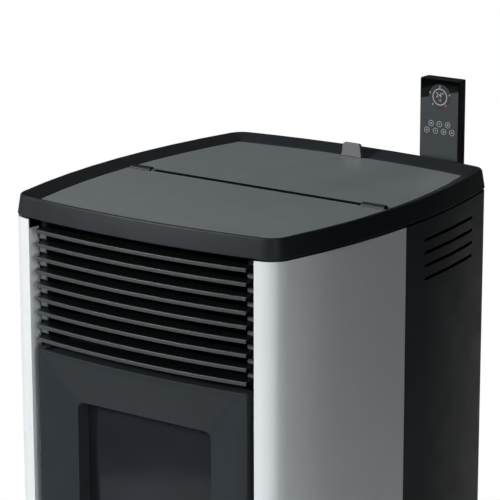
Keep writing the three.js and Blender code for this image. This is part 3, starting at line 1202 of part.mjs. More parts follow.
function makeControl() {
  const w = CONTROL_WIDTH / 2;
  const top = HEIGHT + CONTROL_RAISED;
  const bottom = top - CONTROL_LENGTH;
  const y0 = CONTROL_Y;
  const y1 = CONTROL_Y + CONTROL_DEPTH;
  const faceBottom = top - CONTROL_FACE;
  const control = groupAt(CONTROL_X, 0, 0);
  const r = 3;
  const plan = [[-w, y0], [w, y0], [w, y1 - r], [w - r * 0.3, y1 - r * 0.3], [w - r, y1], [-w + r, y1],
    [-w + r * 0.3, y1 - r * 0.3], [-w, y1 - r]];
  const pocket = box(-w - 1, w + 1, y0 - 1, y0 + CONTROL_GLASS + FIT, faceBottom - FIT, top + 1);
  const groove = box(w - 1.2, w + 1, y0 + 13.5, y0 + 15.5, bottom - 1, top - 84);
  const otherGroove = groove.clone().translate(0.2 - CONTROL_WIDTH, 0, 0);
  add(control, 'handset_body', cut(prism(plan, bottom, top), pocket, groove, otherGroove), 'black');

  const ease = 1.5;
  const face = [[-w, faceBottom], [w, faceBottom], [w, top - ease], [w - ease, top], [-w + ease, top],
    [-w, top - ease]];
  add(control, 'handset_glass', slab(face, y0, y0 + CONTROL_GLASS), 'gloss');

  const g = GUIDE_WALL;
  const inner = w + RUNNING;
  const outer = inner + g;
  const rear = y1 + RUNNING;
  const foot = BACK_PANEL_Y + SKIN + FIT;
  const lip = 6;
  const face0 = y0 - RUNNING;
  const guidePlan = [[inner - 12, foot], [outer, foot], [outer, rear + g], [-outer, rear + g], [-outer, foot],
    [-inner + 12, foot], [-inner + 12, foot + g], [-inner, foot + g], [-inner, face0 - g],
    [-inner + lip, face0 - g], [-inner + lip, face0], [-inner, face0], [-inner, rear],
    [inner, rear], [inner, face0], [inner - lip, face0], [inner - lip, face0 - g],
    [inner, face0 - g], [inner, foot + g], [inner - 12, foot + g]];
  const guideTop = HEIGHT - GUIDE_TOP_DROP;
  const guideBottom = bottom - CONTROL_TRAVEL - 4;
  const channel = prism(guidePlan, guideBottom, guideTop);
  const stop = box(-inner - 1, inner + 1, y0, rear + 1, guideBottom, guideBottom + 3);
  add(control, 'handset_guide', fuse(channel, stop), 'black');
}

// ---------------------------------------------------------------- assembly

makeBaseTray();
makeFeet();
makeCasing();
makeTopFrame();
makeFrontPlate();
makeLid();
makeLidHinges();
makeFrontFrame();
makeGrille();
makeDoor();
makeAshDrawer();
makeKickPanel();
makeFirebox();
makeFireInside();
makeHeatExchanger();
const auger = augerGroup();
makeHopper(auger);
makeAuger(auger);
makeChute(auger);
makeSmokeFan();
makeFlue();
makeRoomFan();
makeBack();
makeElectrics();
makeControl();

// the origin is on the floor under the middle of the overall size
const REAR = CONTROL_Y + CONTROL_DEPTH + RUNNING + GUIDE_WALL;
const FRONT = frontY(0, FRAME_FLARE);
stove.position.y = -(REAR + FRONT) / 2;

export default stove;
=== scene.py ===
"""Pellet stove: the finishes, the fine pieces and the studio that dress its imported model.

Lengths are metres, +Z is up and the front of the stove faces -Y.
"""

import json
import math

import bpy
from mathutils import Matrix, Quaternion, Vector


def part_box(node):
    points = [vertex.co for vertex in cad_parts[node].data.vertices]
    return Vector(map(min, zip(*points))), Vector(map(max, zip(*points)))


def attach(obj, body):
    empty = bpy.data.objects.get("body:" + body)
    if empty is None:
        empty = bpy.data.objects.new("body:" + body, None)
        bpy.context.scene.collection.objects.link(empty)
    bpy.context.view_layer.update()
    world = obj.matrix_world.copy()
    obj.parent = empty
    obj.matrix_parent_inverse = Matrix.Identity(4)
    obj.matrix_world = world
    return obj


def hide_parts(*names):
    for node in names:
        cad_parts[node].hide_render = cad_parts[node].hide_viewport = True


bl_info = {
    "name": "Pellet Stove",
    "version": (1, 0, 0),
    "blender": (4, 5, 0),
    "location": "3D View > Sidebar > Pellet Stove",
    "description": "Models the fine pieces of a pellet stove round its packed frame",
    "category": "Object",
}

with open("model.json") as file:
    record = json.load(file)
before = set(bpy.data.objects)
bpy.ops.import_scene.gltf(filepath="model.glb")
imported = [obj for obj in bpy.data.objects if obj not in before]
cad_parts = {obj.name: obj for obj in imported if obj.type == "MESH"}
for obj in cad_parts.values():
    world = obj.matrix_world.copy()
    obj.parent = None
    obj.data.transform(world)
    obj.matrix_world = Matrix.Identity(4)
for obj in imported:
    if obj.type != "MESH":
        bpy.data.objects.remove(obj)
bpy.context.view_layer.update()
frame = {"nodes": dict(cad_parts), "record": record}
NODES = frame["nodes"]

MM = 0.001
LEFT_RIGHT = (-1, 1)
UP, FRONT, BACK = Vector((0, 0, 1)), Vector((0, -1, 0)), Vector((0, 1, 0))
UPRIGHT = (math.pi / 2, 0, 0)     # turn that stands a flat shape up, so that it looks to the front
SAME_WAY = 0.9                    # cosine past which a face counts as looking one way

BLADES = sorted(name for name in NODES if name.startswith("grille_slat_"))
FEET = sorted(name for name in NODES if name.startswith("levelling_foot_"))

# the bow of the grille: the lip of a blade is an arc about a point behind the stove's front
BLADE_LOW, BLADE_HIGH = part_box(BLADES[0])
BLADE_BOW = 13.25 * MM            # lip at the end of a blade, behind its middle
BOW_RADIUS = (BLADE_HIGH.x ** 2 + BLADE_BOW ** 2) / (2 * BLADE_BOW)
BOW_MIDDLE = BLADE_LOW.y + BOW_RADIUS
LIP_PAINT = 2.2 * MM              # depth of the grey on a lip
LIP_FADE = 0.5 * MM

# the silver paint goes round the front edge of a side panel, as far back as this; behind it the
# inner faces are painted near black, as painted shade
SILVER_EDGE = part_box("side_panel_left")[0].y + 24 * MM

# the slanted edge of the painted reflection on the control panel's glass
REFLECTION_SLOPE = 0.23                 # its rise along X
REFLECTION_LINE = 1177.8 * MM           # its height over the middle of the stove
REFLECTION_FADE = 0.4 * MM


def seen(red, green, blue):
    """A colour as the eye reads it, 0 to 255, turned into the linear values of a shader."""
    def linear(value):
        share = value / 255
        return share / 12.92 if share <= 0.04045 else ((share + 0.055) / 1.055) ** 2.4
    return linear(red), linear(green), linear(blue)


def scaled(tone, share):
    """A lighter or darker colour of the same kind."""
    return tuple(min(1, part * share) for part in tone)


def colour(name, description, *levels):
    """A colour that a user would change; its default is given as the eye reads it."""
    return bpy.props.FloatVectorProperty(
        name=name, description=description, subtype="COLOR", size=3, min=0, max=1,
        default=seen(*levels))


def length(name, description, millimetres):
    """A size that a user would change."""
    return bpy.props.FloatProperty(
        name=name, description=description, subtype="DISTANCE", unit="LENGTH", min=0,
        default=millimetres * MM)


# ---------------------------------------------------------------- what a user would change

class StoveColours(bpy.types.PropertyGroup):
    """Colours of the paints, plastics and metals."""

    black_paint: colour("Black paint", "Powder coat on the frame, rear sides and back", 33, 36, 39)
    silver_paint: colour("Silver paint", "Satin paint on the front side panels", 210, 212, 213)
    # partly painted sheen: this grey also stands for the sheen of the top seen at a low angle
    top_plate_paint: colour("Top plate paint", "Satin grey on the top plate and lid", 107, 113, 114)
    tab_paint: colour("Tab paint", "Grey paint on the lid's pull tab", 104, 107, 110)
    grey_paint: colour("Grey paint", "Dark grey paint on the door and the drawer", 38, 42, 45)
    blade_paint_and_shade: colour("Blade paint", "Grey paint on the lips of the grille blades", 56, 60, 63)
    # painted light: the plates on the grille's posts stand for light falling between the blades'
    # shadows
    light_patch_paint: colour("Clip paint", "Grey paint on the clips of the grille blades", 84, 88, 93)
    hinge: colour("Hinge", "Satin black of the lid's hinge barrels", 24, 26, 28)
    # partly painted shade: darker than the casing's black, for the shade of the cavity behind the
    # grille
    inside: colour("Inside black", "Heat-proof black behind the grille", 15, 16, 17)
    # painted reflection: this grey, below a slanted line on the glass, stands for the studio
    # mirrored in it
    display: colour("Display", "Film behind the lower glass of the control panel", 64, 69, 71)
    steel: colour("Steel", "Bare steel pieces", 150, 152, 154)
    iron: colour("Iron", "Stove iron of the firebox", 36, 36, 37)
    rope: colour("Gasket rope", "Glass fibre rope behind the door", 120, 114, 102)
    liner: colour("Liner board", "Vermiculite boards in the firebox", 186, 170, 140)
    rubber: colour("Rubber", "Pads of the feet", 28, 28, 28)
    # partly painted shade: darker than the feet's rubber, for the shade in the split line round the
    # lid
    edging: colour("Edging", "Rubber edging of the lid", 9, 9, 10)
    plastic: colour("Plastic", "Moulded black plastic", 34, 35, 37)
    board: colour("Circuit board", "Solder mask of the control board", 30, 84, 54)
    marking: colour("Marking", "Lit and printed signs on the control panel", 150, 155, 157)
    warning: colour("Warning", "Red sign on the control panel", 150, 40, 38)


class StoveSizes(bpy.types.PropertyGroup):
    """Sizes of the fine pieces."""

    eased_edge: length("Eased edge", "Rounding of sheet and casting edges", 0.7)
    key_radius: length("Key radius", "Outer radius of the rings round the keys", 4.7)
    ring_radius: length("Display ring", "Outer radius of the ring round the display", 13.4)
    ring_width: length("Ring width", "Stroke of the ring round the display", 1.5)
    key_line: length("Key line", "Stroke of the rings round the keys", 0.7)
    digit_height: length("Digit height", "Height of the figures on the display", 11)
    edging_front: length("Edging front", "Thickness of the lid's edging in the split line", 3.2)
    edging_lip: length("Edging lip", "Reach of the edging over the lid", 4)
    clip_inner: length("Clip place", "Inner edge of a clip from the middle of the stove", 184.5)
    clip_width: length("Clip width", "Width of the clip under each end of a blade", 13)
    clip_height: length("Clip height", "Height of the clip under each end of a blade", 6.7)
    clip_drop: length("Clip drop", "Clip below the lip of its blade", 5.2)
    screw_radius: length("Screw head", "Radius of the screw heads on the back panel", 4)


# ---------------------------------------------------------------- modelling helpers

EASE_SEGMENTS = 2
EASE_ANGLE = math.radians(30)


def cleared():
    """Deselects everything, because an operator acts on all that is selected."""
    bpy.ops.object.select_all(action="DESELECT")


def only(*objects):
    """Leaves nothing selected but these objects; the first is active."""
    cleared()
    for one in objects:
        one.select_set(True)
    bpy.context.view_layer.objects.active = objects[0]


def added(name):
    """Names what an operator has just added."""
    piece = bpy.context.active_object
    piece.name = name
    piece.data.name = name
    return piece


def settled(piece):
    """Puts the piece's place, turn and size in its mesh."""
    only(piece)
    bpy.ops.object.transform_apply(location=True, rotation=True, scale=True)
    return piece


def shaped(piece, kind, **settings):
    """Adds one modifier and applies it."""
    only(piece)
    bpy.ops.object.modifier_add(type=kind)
    modifier = piece.modifiers[-1]
    for name, value in settings.items():
        setattr(modifier, name, value)
    bpy.ops.object.modifier_apply(modifier=modifier.name)
    return piece


def eased(piece, width):
    """Rounds the sharp edges and keeps the flats flat in the shading."""
    shaped(piece, "BEVEL", width=width, segments=EASE_SEGMENTS, limit_method="ANGLE",
           angle_limit=EASE_ANGLE)
    only(piece)
    bpy.ops.object.shade_smooth()
    return shaped(piece, "WEIGHTED_NORMAL", keep_sharp=False)


def looking(direction):
    """A test for faces that look one way."""
    return lambda face: face.normal.dot(direction) > SAME_WAY


def every(face):
    """A test that all faces pass."""
    return True


def inset(width):
    """The edit-mode step that draws a border inside the chosen faces."""
    return bpy.ops.mesh.inset, {"thickness": width}


def pulled(shift):
    """The edit-mode step that extrudes the chosen faces by a shift."""
    return bpy.ops.mesh.extrude_region_move, {"TRANSFORM_OT_translate": {"value": shift}}


def edited(piece, chosen, *steps):
    """Runs edit-mode steps on the faces that a test on the face chooses."""
    only(piece)
    bpy.ops.object.mode_set(mode="EDIT")
    bpy.ops.mesh.select_mode(type="FACE")
    bpy.ops.mesh.select_all(action="DESELECT")
    bpy.ops.object.mode_set(mode="OBJECT")
    for face in piece.data.polygons:
        face.select = chosen(face)
    bpy.ops.object.mode_set(mode="EDIT")
    for operator, settings in steps:
        operator(**settings)
    bpy.ops.object.mode_set(mode="OBJECT")
    return piece


def block(name, low, high):
    """A box between two corners, as a start for a piece."""
    cleared()
    bpy.ops.mesh.primitive_cube_add(size=1, location=(Vector(low) + Vector(high)) / 2)
    piece = added(name)
    piece.scale = Vector(high) - Vector(low)
    return settled(piece)


def drum(name, radius, depth, middle, sides, turn=(0, 0, 0)):
    """A short cylinder, as a start for a piece."""
    cleared()
    bpy.ops.mesh.primitive_cylinder_add(vertices=sides, radius=radius, depth=depth,
                                        location=middle, rotation=turn)
    return settled(added(name))


def band(name, outer, width, thickness, middle, sides):
    """A flat ring that looks to the front."""
    cleared()
    bpy.ops.mesh.primitive_circle_add(vertices=sides, radius=outer, fill_type="NGON",
                                      location=middle, rotation=UPRIGHT)
    ring = settled(added(name))
    edited(ring, every, inset(width), (bpy.ops.mesh.delete, {"type": "FACE"}))
    return shaped(ring, "SOLIDIFY", thickness=thickness, offset=1)


def copied(piece, name, shift):
    """A copy with its own mesh, moved by a shift that ends up in the mesh."""
    only(piece)
    bpy.ops.object.duplicate(linked=False)
    twin = added(name)
    twin.location = shift
    return settled(twin)


def merged(pieces, name):
    """Joins like pieces into one object."""
    only(*pieces)
    bpy.ops.object.join()
    return added(name)


def handed(piece, body, slot, *nodes, finish=None):
    """Gives a finished piece its material and its body, and hides the CAD nodes that it stands for.
    """
    piece.data.materials.clear()
    piece.data.materials.append(MIXED[finish or slot])
    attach(piece, body)
    if nodes:
        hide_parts(*nodes)


# ---------------------------------------------------------------- finishes

MIXED = {}                        # material of each finish, once it is mixed
NOISE_SPAN = (0.3, 0.7)           # where nearly all the values of a noise lie
PEEL = {"scale": 900, "detail": 2}      # orange peel of a baked paint
PEEL_DEPTH = 0.12 * MM


def add_node(tree, kind, sockets=None, **settings):
    """Adds a shader node; each socket takes a value, or the output that feeds it."""
    node = tree.nodes.new(kind)
    for name, value in settings.items():
        setattr(node, name, value)
    for socket, value in (sockets or {}).items():
        if isinstance(value, bpy.types.NodeSocket):
            tree.links.new(value, node.inputs[socket])
        else:
            node.inputs[socket].default_value = value
    return node


class Finish:
    """A node material that is built up step by step round one Principled shader."""

    def __init__(self, name, roughness, specular=0.5, metallic=0.0):
        self.material = bpy.data.materials.new(f"stove_{name}")
        self.material.use_nodes = True
        MIXED[name] = self.material
        self.tree = self.material.node_tree
        self.shader = self.tree.nodes["Principled BSDF"]
        self.set(Roughness=roughness, Metallic=metallic, Specular_IOR_Level=specular)
        coordinates = self.node("ShaderNodeTexCoord")
        self.place = coordinates.outputs["Object"]
        self.normal = coordinates.outputs["Normal"]

    def node(self, kind, sockets=None, **settings):
        return add_node(self.tree, kind, sockets, **settings)

    def set(self, **values):
        """Sets sockets of the shader to plain values."""
        for name, value in values.items():
            self.shader.inputs[name.replace("_", " ")].default_value = value

    def feed(self, socket, source):
        """Links an output to a socket of the shader."""
        self.tree.links.new(source, self.shader.inputs[socket])

    def math(self, operation, *values):
        return self.node("ShaderNodeMath", dict(enumerate(values)),
                         operation=operation).outputs["Value"]

    def vector_math(self, operation, *values):
        return self.node("ShaderNodeVectorMath", dict(enumerate(values)),
                         operation=operation).outputs

    def parts(self):
        """The place along each axis."""
        return self.node("ShaderNodeSeparateXYZ", {"Vector": self.place}).outputs

    def plan(self):
        """The place with its height left out."""
        return self.vector_math("MULTIPLY", self.place, (1, 1, 0))["Vector"]

    def stretched(self, scale=(1, 1, 1), turn=(0, 0, 0)):
        """The place in a space that is squeezed and turned."""
        return self.node("ShaderNodeMapping", {"Vector": self.place, "Scale": scale,
                                               "Rotation": turn}).outputs["Vector"]

    def noise(self, scale, detail=3.0, rough=0.55, vector=None):
        """A noise with about this many bumps to the metre."""
        noise = self.node("ShaderNodeTexNoise", {"Vector": vector or self.place, "Scale": scale,
                                                 "Detail": detail, "Roughness": rough})
        return noise.outputs["Fac"]

    def cells(self, scale, vector=None):
        """A pattern of cells, about this many to the metre."""
        return self.node("ShaderNodeTexVoronoi", {"Vector": vector or self.place, "Scale": scale},
                         feature="F1").outputs

    def span(self, value, start, end, low=0.0, high=1.0):
        """Runs from low to high while the value runs from start to end."""
        return self.node("ShaderNodeMapRange", {"Value": value, "From Min": start, "From Max": end,
                                                "To Min": low, "To Max": high}).outputs["Result"]

    def ramp(self, factor, low, high):
        """Runs from one colour to another over the span of a noise."""
        ramp = self.node("ShaderNodeValToRGB", {"Fac": factor})
        for element, position, tone in zip(ramp.color_ramp.elements, NOISE_SPAN, (low, high)):
            element.position = position
            element.color = (*tone, 1)
        return ramp.outputs["Color"]

    def blend(self, factor, start, end):
        """Base colour that goes from a plain colour to the colour of an output."""
        mix = self.node("ShaderNodeMix", {"Factor": factor, "A": (*start, 1), "B": end},
                        data_type="RGBA")
        self.feed("Base Color", mix.outputs["Result"])

    def mottle(self, factor, tone, spread):
        """Base colour that wanders a little to each side of one tone."""
        low, high = scaled(tone, 1 - spread), scaled(tone, 1 + spread)
        self.feed("Base Color", self.ramp(factor, low, high))

    def worn(self, factor, low, high):
        """Roughness that runs between two values."""
        self.feed("Roughness", self.span(factor, *NOISE_SPAN, low, high))

    def bump(self, factor, strength, depth):
        bump = self.node("ShaderNodeBump", {"Height": factor, "Strength": strength,
                                            "Distance": depth})
        self.feed("Normal", bump.outputs["Normal"])


def powder_coat(name, tone, roughness, specular, metallic=0.0, spread=0.05):
    """Baked powder paint: even colour, a fine orange peel and a slightly uneven sheen."""
    finish = Finish(name, roughness, specular, metallic)
    finish.mottle(finish.noise(9), tone, spread)
    finish.worn(finish.noise(22), low=roughness - 0.04, high=roughness + 0.05)
    finish.bump(finish.noise(**PEEL), strength=0.12, depth=PEEL_DEPTH)
    return finish


def paint_shade_inside(finish, inner):
    """Keeps a casing's paint on its front edge and outward faces, and paints the rest near black as
    painted shade inside the casing.
    """
    paint = finish.shader.inputs["Base Color"].links[0].from_socket
    outwards = finish.vector_math("DOT_PRODUCT", finish.plan(), finish.normal)["Value"]
    outside = finish.math("GREATER_THAN", outwards, 0)
    ahead = finish.math("LESS_THAN", finish.parts()["Y"], SILVER_EDGE)
    finish.blend(finish.math("MAXIMUM", outside, ahead), inner, paint)


def blade_paint_and_shade(name, tone, inner):
    """Grey on the bowed lip of each blade, and painted shade behind it: the blade's top under the
    lip above is painted near black.
    """
    finish = Finish(name, roughness=0.42, specular=0.3)
    reach = finish.vector_math("DISTANCE", finish.plan(), (0, BOW_MIDDLE, 0))["Value"]
    border = BOW_RADIUS - LIP_PAINT
    lip = finish.span(reach, border - LIP_FADE, border)
    finish.blend(lip, inner, finish.ramp(finish.noise(12), scaled(tone, 0.94), tone))
    finish.bump(finish.noise(**PEEL), strength=0.12, depth=PEEL_DEPTH)


def rough_iron(name, tone):
    """Hot rolled and cast iron under heat paint, with a random mottle of soot."""
    finish = Finish(name, roughness=0.75, specular=0.3, metallic=0.25)
    finish.mottle(finish.noise(34, detail=5, rough=0.7), tone, spread=0.35)
    finish.worn(finish.noise(60), low=0.6, high=0.85)
    finish.bump(finish.noise(420, detail=4, rough=0.65), strength=0.35, depth=0.4 * MM)


def rolled_steel(name, tone):
    """Bare steel with drawn streaks along Z."""
    finish = Finish(name, roughness=0.34, metallic=0.9)
    streaks = finish.noise(60, detail=4, rough=0.6, vector=finish.stretched(scale=(14, 14, 0.6)))
    finish.mottle(streaks, tone, spread=0.1)
    finish.worn(streaks, low=0.28, high=0.42)
    finish.bump(streaks, strength=0.08, depth=0.05 * MM)


def braided_rope(name, tone):
    """Knitted glass rope: small slanted stitches."""
    finish = Finish(name, roughness=0.95, specular=0.2)
    stitches = finish.cells(420, finish.stretched(scale=(1, 1, 0.6), turn=(0, 0.6, 0)))
    finish.mottle(stitches["Distance"], tone, spread=0.4)
    finish.bump(stitches["Distance"], strength=0.7, depth=0.8 * MM)


def vermiculite(name, tone):
    """Pressed mica flakes, with a few that shine."""
    finish = Finish(name, roughness=0.9, specular=0.25)
    flakes = finish.cells(260)
    finish.mottle(flakes["Color"], tone, spread=0.22)
    finish.worn(flakes["Distance"], low=0.55, high=1.0)
    finish.bump(flakes["Distance"], strength=0.4, depth=0.5 * MM)


def moulded(name, tone, roughness=0.5, specular=0.4, texture=0.25):
    """Spark eroded plastic or rubber."""
    finish = Finish(name, roughness, specular)
    finish.mottle(finish.noise(40), tone, spread=0.08)
    finish.worn(finish.noise(120), low=roughness - 0.05, high=roughness + 0.07)
    finish.bump(finish.noise(1600, detail=2), strength=texture, depth=0.06 * MM)


def glass_ceramic(name, tone):
    """Dark window glass that lets a little of the firebox show."""
    finish = Finish(name, roughness=0.06, specular=0.4)
    finish.set(IOR=1.5, Transmission_Weight=0.35)
    haze = finish.noise(7, detail=4)
    finish.mottle(haze, tone, spread=0.25)
    finish.worn(haze, low=0.03, high=0.12)


def glass_with_painted_reflection(name, reflected_grey, lens):
    """Display glass: black lens above a slanted line, a dark grey painted reflection of the studio
    below it.
    """
    finish = Finish(name, roughness=0.05, specular=0.04)
    place = finish.parts()
    line = finish.math("MULTIPLY_ADD", place["X"], -REFLECTION_SLOPE, place["Z"])
    below = finish.span(line, REFLECTION_LINE + REFLECTION_FADE, REFLECTION_LINE - REFLECTION_FADE)
    wiped = finish.noise(30, detail=4, rough=0.6, vector=finish.stretched(scale=(1, 1, 4)))
    finish.blend(below, lens, finish.ramp(wiped, scaled(reflected_grey, 0.92), reflected_grey))
    finish.worn(wiped, low=0.03, high=0.08)


def gloss_panel(name, tone):
    """Glossy black plastic."""
    finish = Finish(name, roughness=0.12)
    wiped = finish.noise(30, detail=4, rough=0.6)
    finish.mottle(wiped, tone, spread=0.3)
    finish.worn(wiped, low=0.08, high=0.18)


def etched_disc(name, tone):
    """Etched disc of the display, a little lighter than the glass."""
    finish = Finish(name, roughness=0.3, specular=0.3)
    finish.mottle(finish.noise(60), tone, spread=0.1)


def circuit_board(name, tone):
    """Green solder mask with lighter tracks under it."""
    finish = Finish(name, roughness=0.35)
    tracks = finish.node("ShaderNodeTexBrick", {
        "Vector": finish.stretched(turn=(0, math.pi / 2, 0)),
        "Scale": 90,
        "Mortar Size": 0.012,
        "Color1": (*tone, 1),
        "Color2": (*scaled(tone, 0.8), 1),
        "Mortar": (*scaled(tone, 1.9), 1),
    })
    finish.feed("Base Color", tracks.outputs["Color"])
    finish.worn(finish.noise(50), low=0.3, high=0.45)


def lit_marking(name, tone):
    """Signs that glow faintly behind the display glass."""
    finish = Finish(name, roughness=0.4)
    finish.mottle(finish.noise(300), tone, spread=0.1)
    finish.set(Emission_Color=(*tone, 1), Emission_Strength=0.25)


class STOVE_OT_finishes(bpy.types.Operator):
    """Mixes every paint, metal and plastic of the stove"""

    bl_idname = "stove.finishes"
    bl_label = "Finishes"

    def execute(self, context):
        tones = context.scene.stove_colours
        powder_coat("black_paint", tones.black_paint, roughness=0.42, specular=0.12)
        silver = powder_coat("silver_paint", tones.silver_paint, roughness=0.42, specular=0.4,
                             metallic=0.1, spread=0.015)
        # painted shade: the inner faces of the silver panels are near black for the shade inside
        # the casing
        paint_shade_inside(silver, seen(22, 23, 24))
        # partly painted sheen: the top plate's grey also stands for its sheen at a low angle
        for name, tone in (("top_plate_paint", tones.top_plate_paint),
                           ("tab_paint", tones.tab_paint)):
            powder_coat(name, tone, roughness=0.45, specular=0.3, spread=0.02)
        powder_coat("grey_paint", tones.grey_paint, roughness=0.45, specular=0.12)
        powder_coat("handle_black", tones.black_paint, roughness=0.35, specular=0.3)
        # painted light: lighter grey for the plates that stand for light on the grille's posts
        powder_coat("light_patch_paint", tones.light_patch_paint, roughness=0.4, specular=0.2)
        powder_coat("hinge_black", tones.hinge, roughness=0.45, specular=0.2)
        # painted shade: the frame behind the grille is darker than the casing's black paint
        powder_coat("inside_black_and_shade", tones.inside, roughness=0.6, specular=0.08)
        # painted shade: behind its grey lip each blade is near black, for the shade under the lip
        # above
        blade_paint_and_shade("blade_paint_and_shade", tones.blade_paint_and_shade, inner=seen(8, 9, 10))
        # painted shade: steel seen through the grille is near black for the shade of the cavity
        # behind it
        rough_iron("shade_black_steel", seen(14, 15, 16))
        rough_iron("stove_iron", tones.iron)
        rolled_steel("bare_steel", tones.steel)
        braided_rope("gasket_rope", tones.rope)
        vermiculite("liner_board", tones.liner)
        moulded("foot_rubber", tones.rubber, roughness=0.85, specular=0.2)
        # painted shade: the edging is near black and barely shines, for the shade of the split line
        moulded("edging_and_gap_shade", tones.edging, roughness=0.8, specular=0.03)
        moulded("black_plastic", tones.plastic)
        moulded("handset_plastic", tones.plastic, roughness=0.4, specular=0.2, texture=0.1)
        glass_ceramic("ceramic_glass", seen(40, 44, 48))
        gloss_panel("gloss_black", seen(14, 15, 16))
        # painted reflection: the glass is dark grey below the slanted line
        glass_with_painted_reflection("glass_with_painted_reflection", reflected_grey=tones.display, lens=seen(3, 4, 5))
        etched_disc("display_dim", seen(38, 41, 43))
        circuit_board("circuit_board", tones.board)
        lit_marking("panel_marking", tones.marking)
        lit_marking("panel_warning", tones.warning)
        return {"FINISHED"}


# ---------------------------------------------------------------- CAD nodes that stay

# the slot of each node, as the record gives it, and the finishes that differ from their slot's
SLOTS = {part["node"]: part["material_slot"] for part in frame["record"]["subparts"]}
OWN_FINISH = {
    # painted shade: the blades are near black behind their lips
    **{name: "blade_paint_and_shade" for name in BLADES},
    # painted shade: darker black for the cavity behind the grille
    "front_frame": "inside_black_and_shade",
    "lid_hinge_left": "hinge_black",
    "lid_hinge_right": "hinge_black",
    # painted shade: near-black steel for parts in the shade behind the grille
    "hopper": "shade_black_steel",
    "auger_tube": "shade_black_steel",
    "heat_exchanger": "shade_black_steel",
    "handset_glass": "glass_with_painted_reflection",
}

# the nodes whose edges are sharper or rounder than the common rounding, in millimetres
OWN_EDGE = {
    "room_fan_rotor": 0.15, "hopper_guard": 0.2, "smoke_fan_wheel": 0.2, "auger_screw": 0.3,
    "ash_drawer": 0.3, "door_gasket": 0.3, "hopper": 0.3, "door_latch": 0.4,
    "glass_retainer": 0.4, "kick_panel": 0.4, "pellet_chute": 0.4, "rear_side_left": 0.4,
    "rear_side_right": 0.4, "side_panel_left": 0.45, "side_panel_right": 0.45,
    "burn_pot": 0.5, "handset_glass": 0.5, "heat_exchanger": 0.5, "power_switch": 0.5,
    "lid_tab": 0.9, "handset_body": 1.2, "fire_door": 1.3,
}

WELD_REACH = 0.01 * MM
FLAT_ANGLE = math.radians(0.4)    # faces that meet at less than this are one flat
SHARP_ANGLE = math.radians(31)    # edges of a CAD node sharper than this are rounded


def soften(node, width):
    """Live modifiers that close the loose triangles of a CAD node and round its edges."""
    for polygon in node.data.polygons:
        polygon.use_smooth = True
    weld = node.modifiers.new("Closed", "WELD")
    weld.merge_threshold = WELD_REACH
    flat = node.modifiers.new("Whole faces", "DECIMATE")
    flat.decimate_type = "DISSOLVE"
    flat.angle_limit = FLAT_ANGLE
    edge = node.modifiers.new("Eased edges", "BEVEL")
    edge.width = width
    edge.segments = EASE_SEGMENTS
    edge.limit_method = "ANGLE"
    edge.angle_limit = SHARP_ANGLE
    edge.use_clamp_overlap = True
    shade = node.modifiers.new("Even shading", "WEIGHTED_NORMAL")
    shade.keep_sharp = False


class STOVE_OT_cad_nodes(bpy.types.Operator):
    """Gives the CAD nodes their finishes and soft edges; their meshes stay as they are"""

    bl_idname = "stove.cad_nodes"
    bl_label = "CAD pieces"

    def execute(self, context):
        common = context.scene.stove_sizes.eased_edge
        for name, slot in SLOTS.items():
            node = NODES[name]
            node.data.materials.clear()
            node.data.materials.append(MIXED[OWN_FINISH.get(name, slot)])
            soften(node, OWN_EDGE[name] * MM if name in OWN_EDGE else common)
        return {"FINISHED"}


# ---------------------------------------------------------------- pieces modelled here

LID_EDGE = -11.7 * MM             # front edge of the lid, along Y
EDGING_HALF = 191.6 * MM          # half the length of the edging, between the hinges
EDGING_DEPTH = 2.8 * MM           # its lower edge under the top of the plates
EDGING_GAP = 0.05 * MM            # from the lid's edge, and from the top of the plates
EDGING_THICKNESS = 0.75 * MM      # of the lip that lies on the lid
EDGING_EASE = 0.3 * MM


class STOVE_OT_lid_edging(bpy.types.Operator):
    """Models the rubber edging that grips the front edge of the hopper lid; its near black also
    paints the shade of the split line
    """

    bl_idname = "stove.lid_edging"
    bl_label = "Lid edging"

    def execute(self, context):
        sizes = context.scene.stove_sizes
        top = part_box("front_top_plate")[1].z
        edging = block("lid_edging",
                       (-EDGING_HALF, LID_EDGE - sizes.edging_front, top - EDGING_DEPTH),
                       (EDGING_HALF, LID_EDGE - EDGING_GAP, top + EDGING_GAP))
        edited(edging, looking(UP), pulled(UP * EDGING_THICKNESS))
        edited(edging, lambda face: looking(BACK)(face) and face.center.z > top,
               pulled(BACK * sizes.edging_lip))
        eased(edging, EDGING_EASE)
        handed(edging, "lid", "foot_rubber", finish="edging_and_gap_shade")
        return {"FINISHED"}


CLIP_GAP = 0.1 * MM               # between a clip and the post behind it
CLIP_PLATE = 1 * MM               # thickness of its plate
CLIP_BORDER = 0.8 * MM            # plate round its raised middle
CLIP_RISE = 0.8 * MM              # raised middle ahead of the plate
CLIP_EASE = 0.25 * MM


class STOVE_OT_light_patch_plates(bpy.types.Operator):
    """Models light grey plates on the grille's posts, under the ends of every blade but the lowest,
    as painted light: they stand for the light that falls on the posts between the blades' shadows
    """

    bl_idname = "stove.blade_clips"
    bl_label = "Blade clips"

    def execute(self, context):
        sizes = context.scene.stove_sizes
        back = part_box("front_frame")[0].y - CLIP_GAP
        top = BLADE_LOW.z - sizes.clip_drop
        clips = []
        for side in LEFT_RIGHT:
            ends = sorted((side * sizes.clip_inner, side * (sizes.clip_inner + sizes.clip_width)))
            clip = block("light_patch_plate", (ends[0], back - CLIP_PLATE, top - sizes.clip_height),
                         (ends[1], back, top))
            edited(clip, looking(FRONT), inset(CLIP_BORDER), pulled(FRONT * CLIP_RISE))
            eased(clip, CLIP_EASE)
            clips.append(clip)
            for blade in BLADES[1:-1]:
                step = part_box(blade)[0].z - BLADE_LOW.z
                clips.append(copied(clip, "light_patch_plate", UP * step))
        # painted light: the plates are lighter than the black posts behind them
        handed(merged(clips, "blade_clips"), "stove_body", "grey_paint", finish="light_patch_paint")
        return {"FINISHED"}


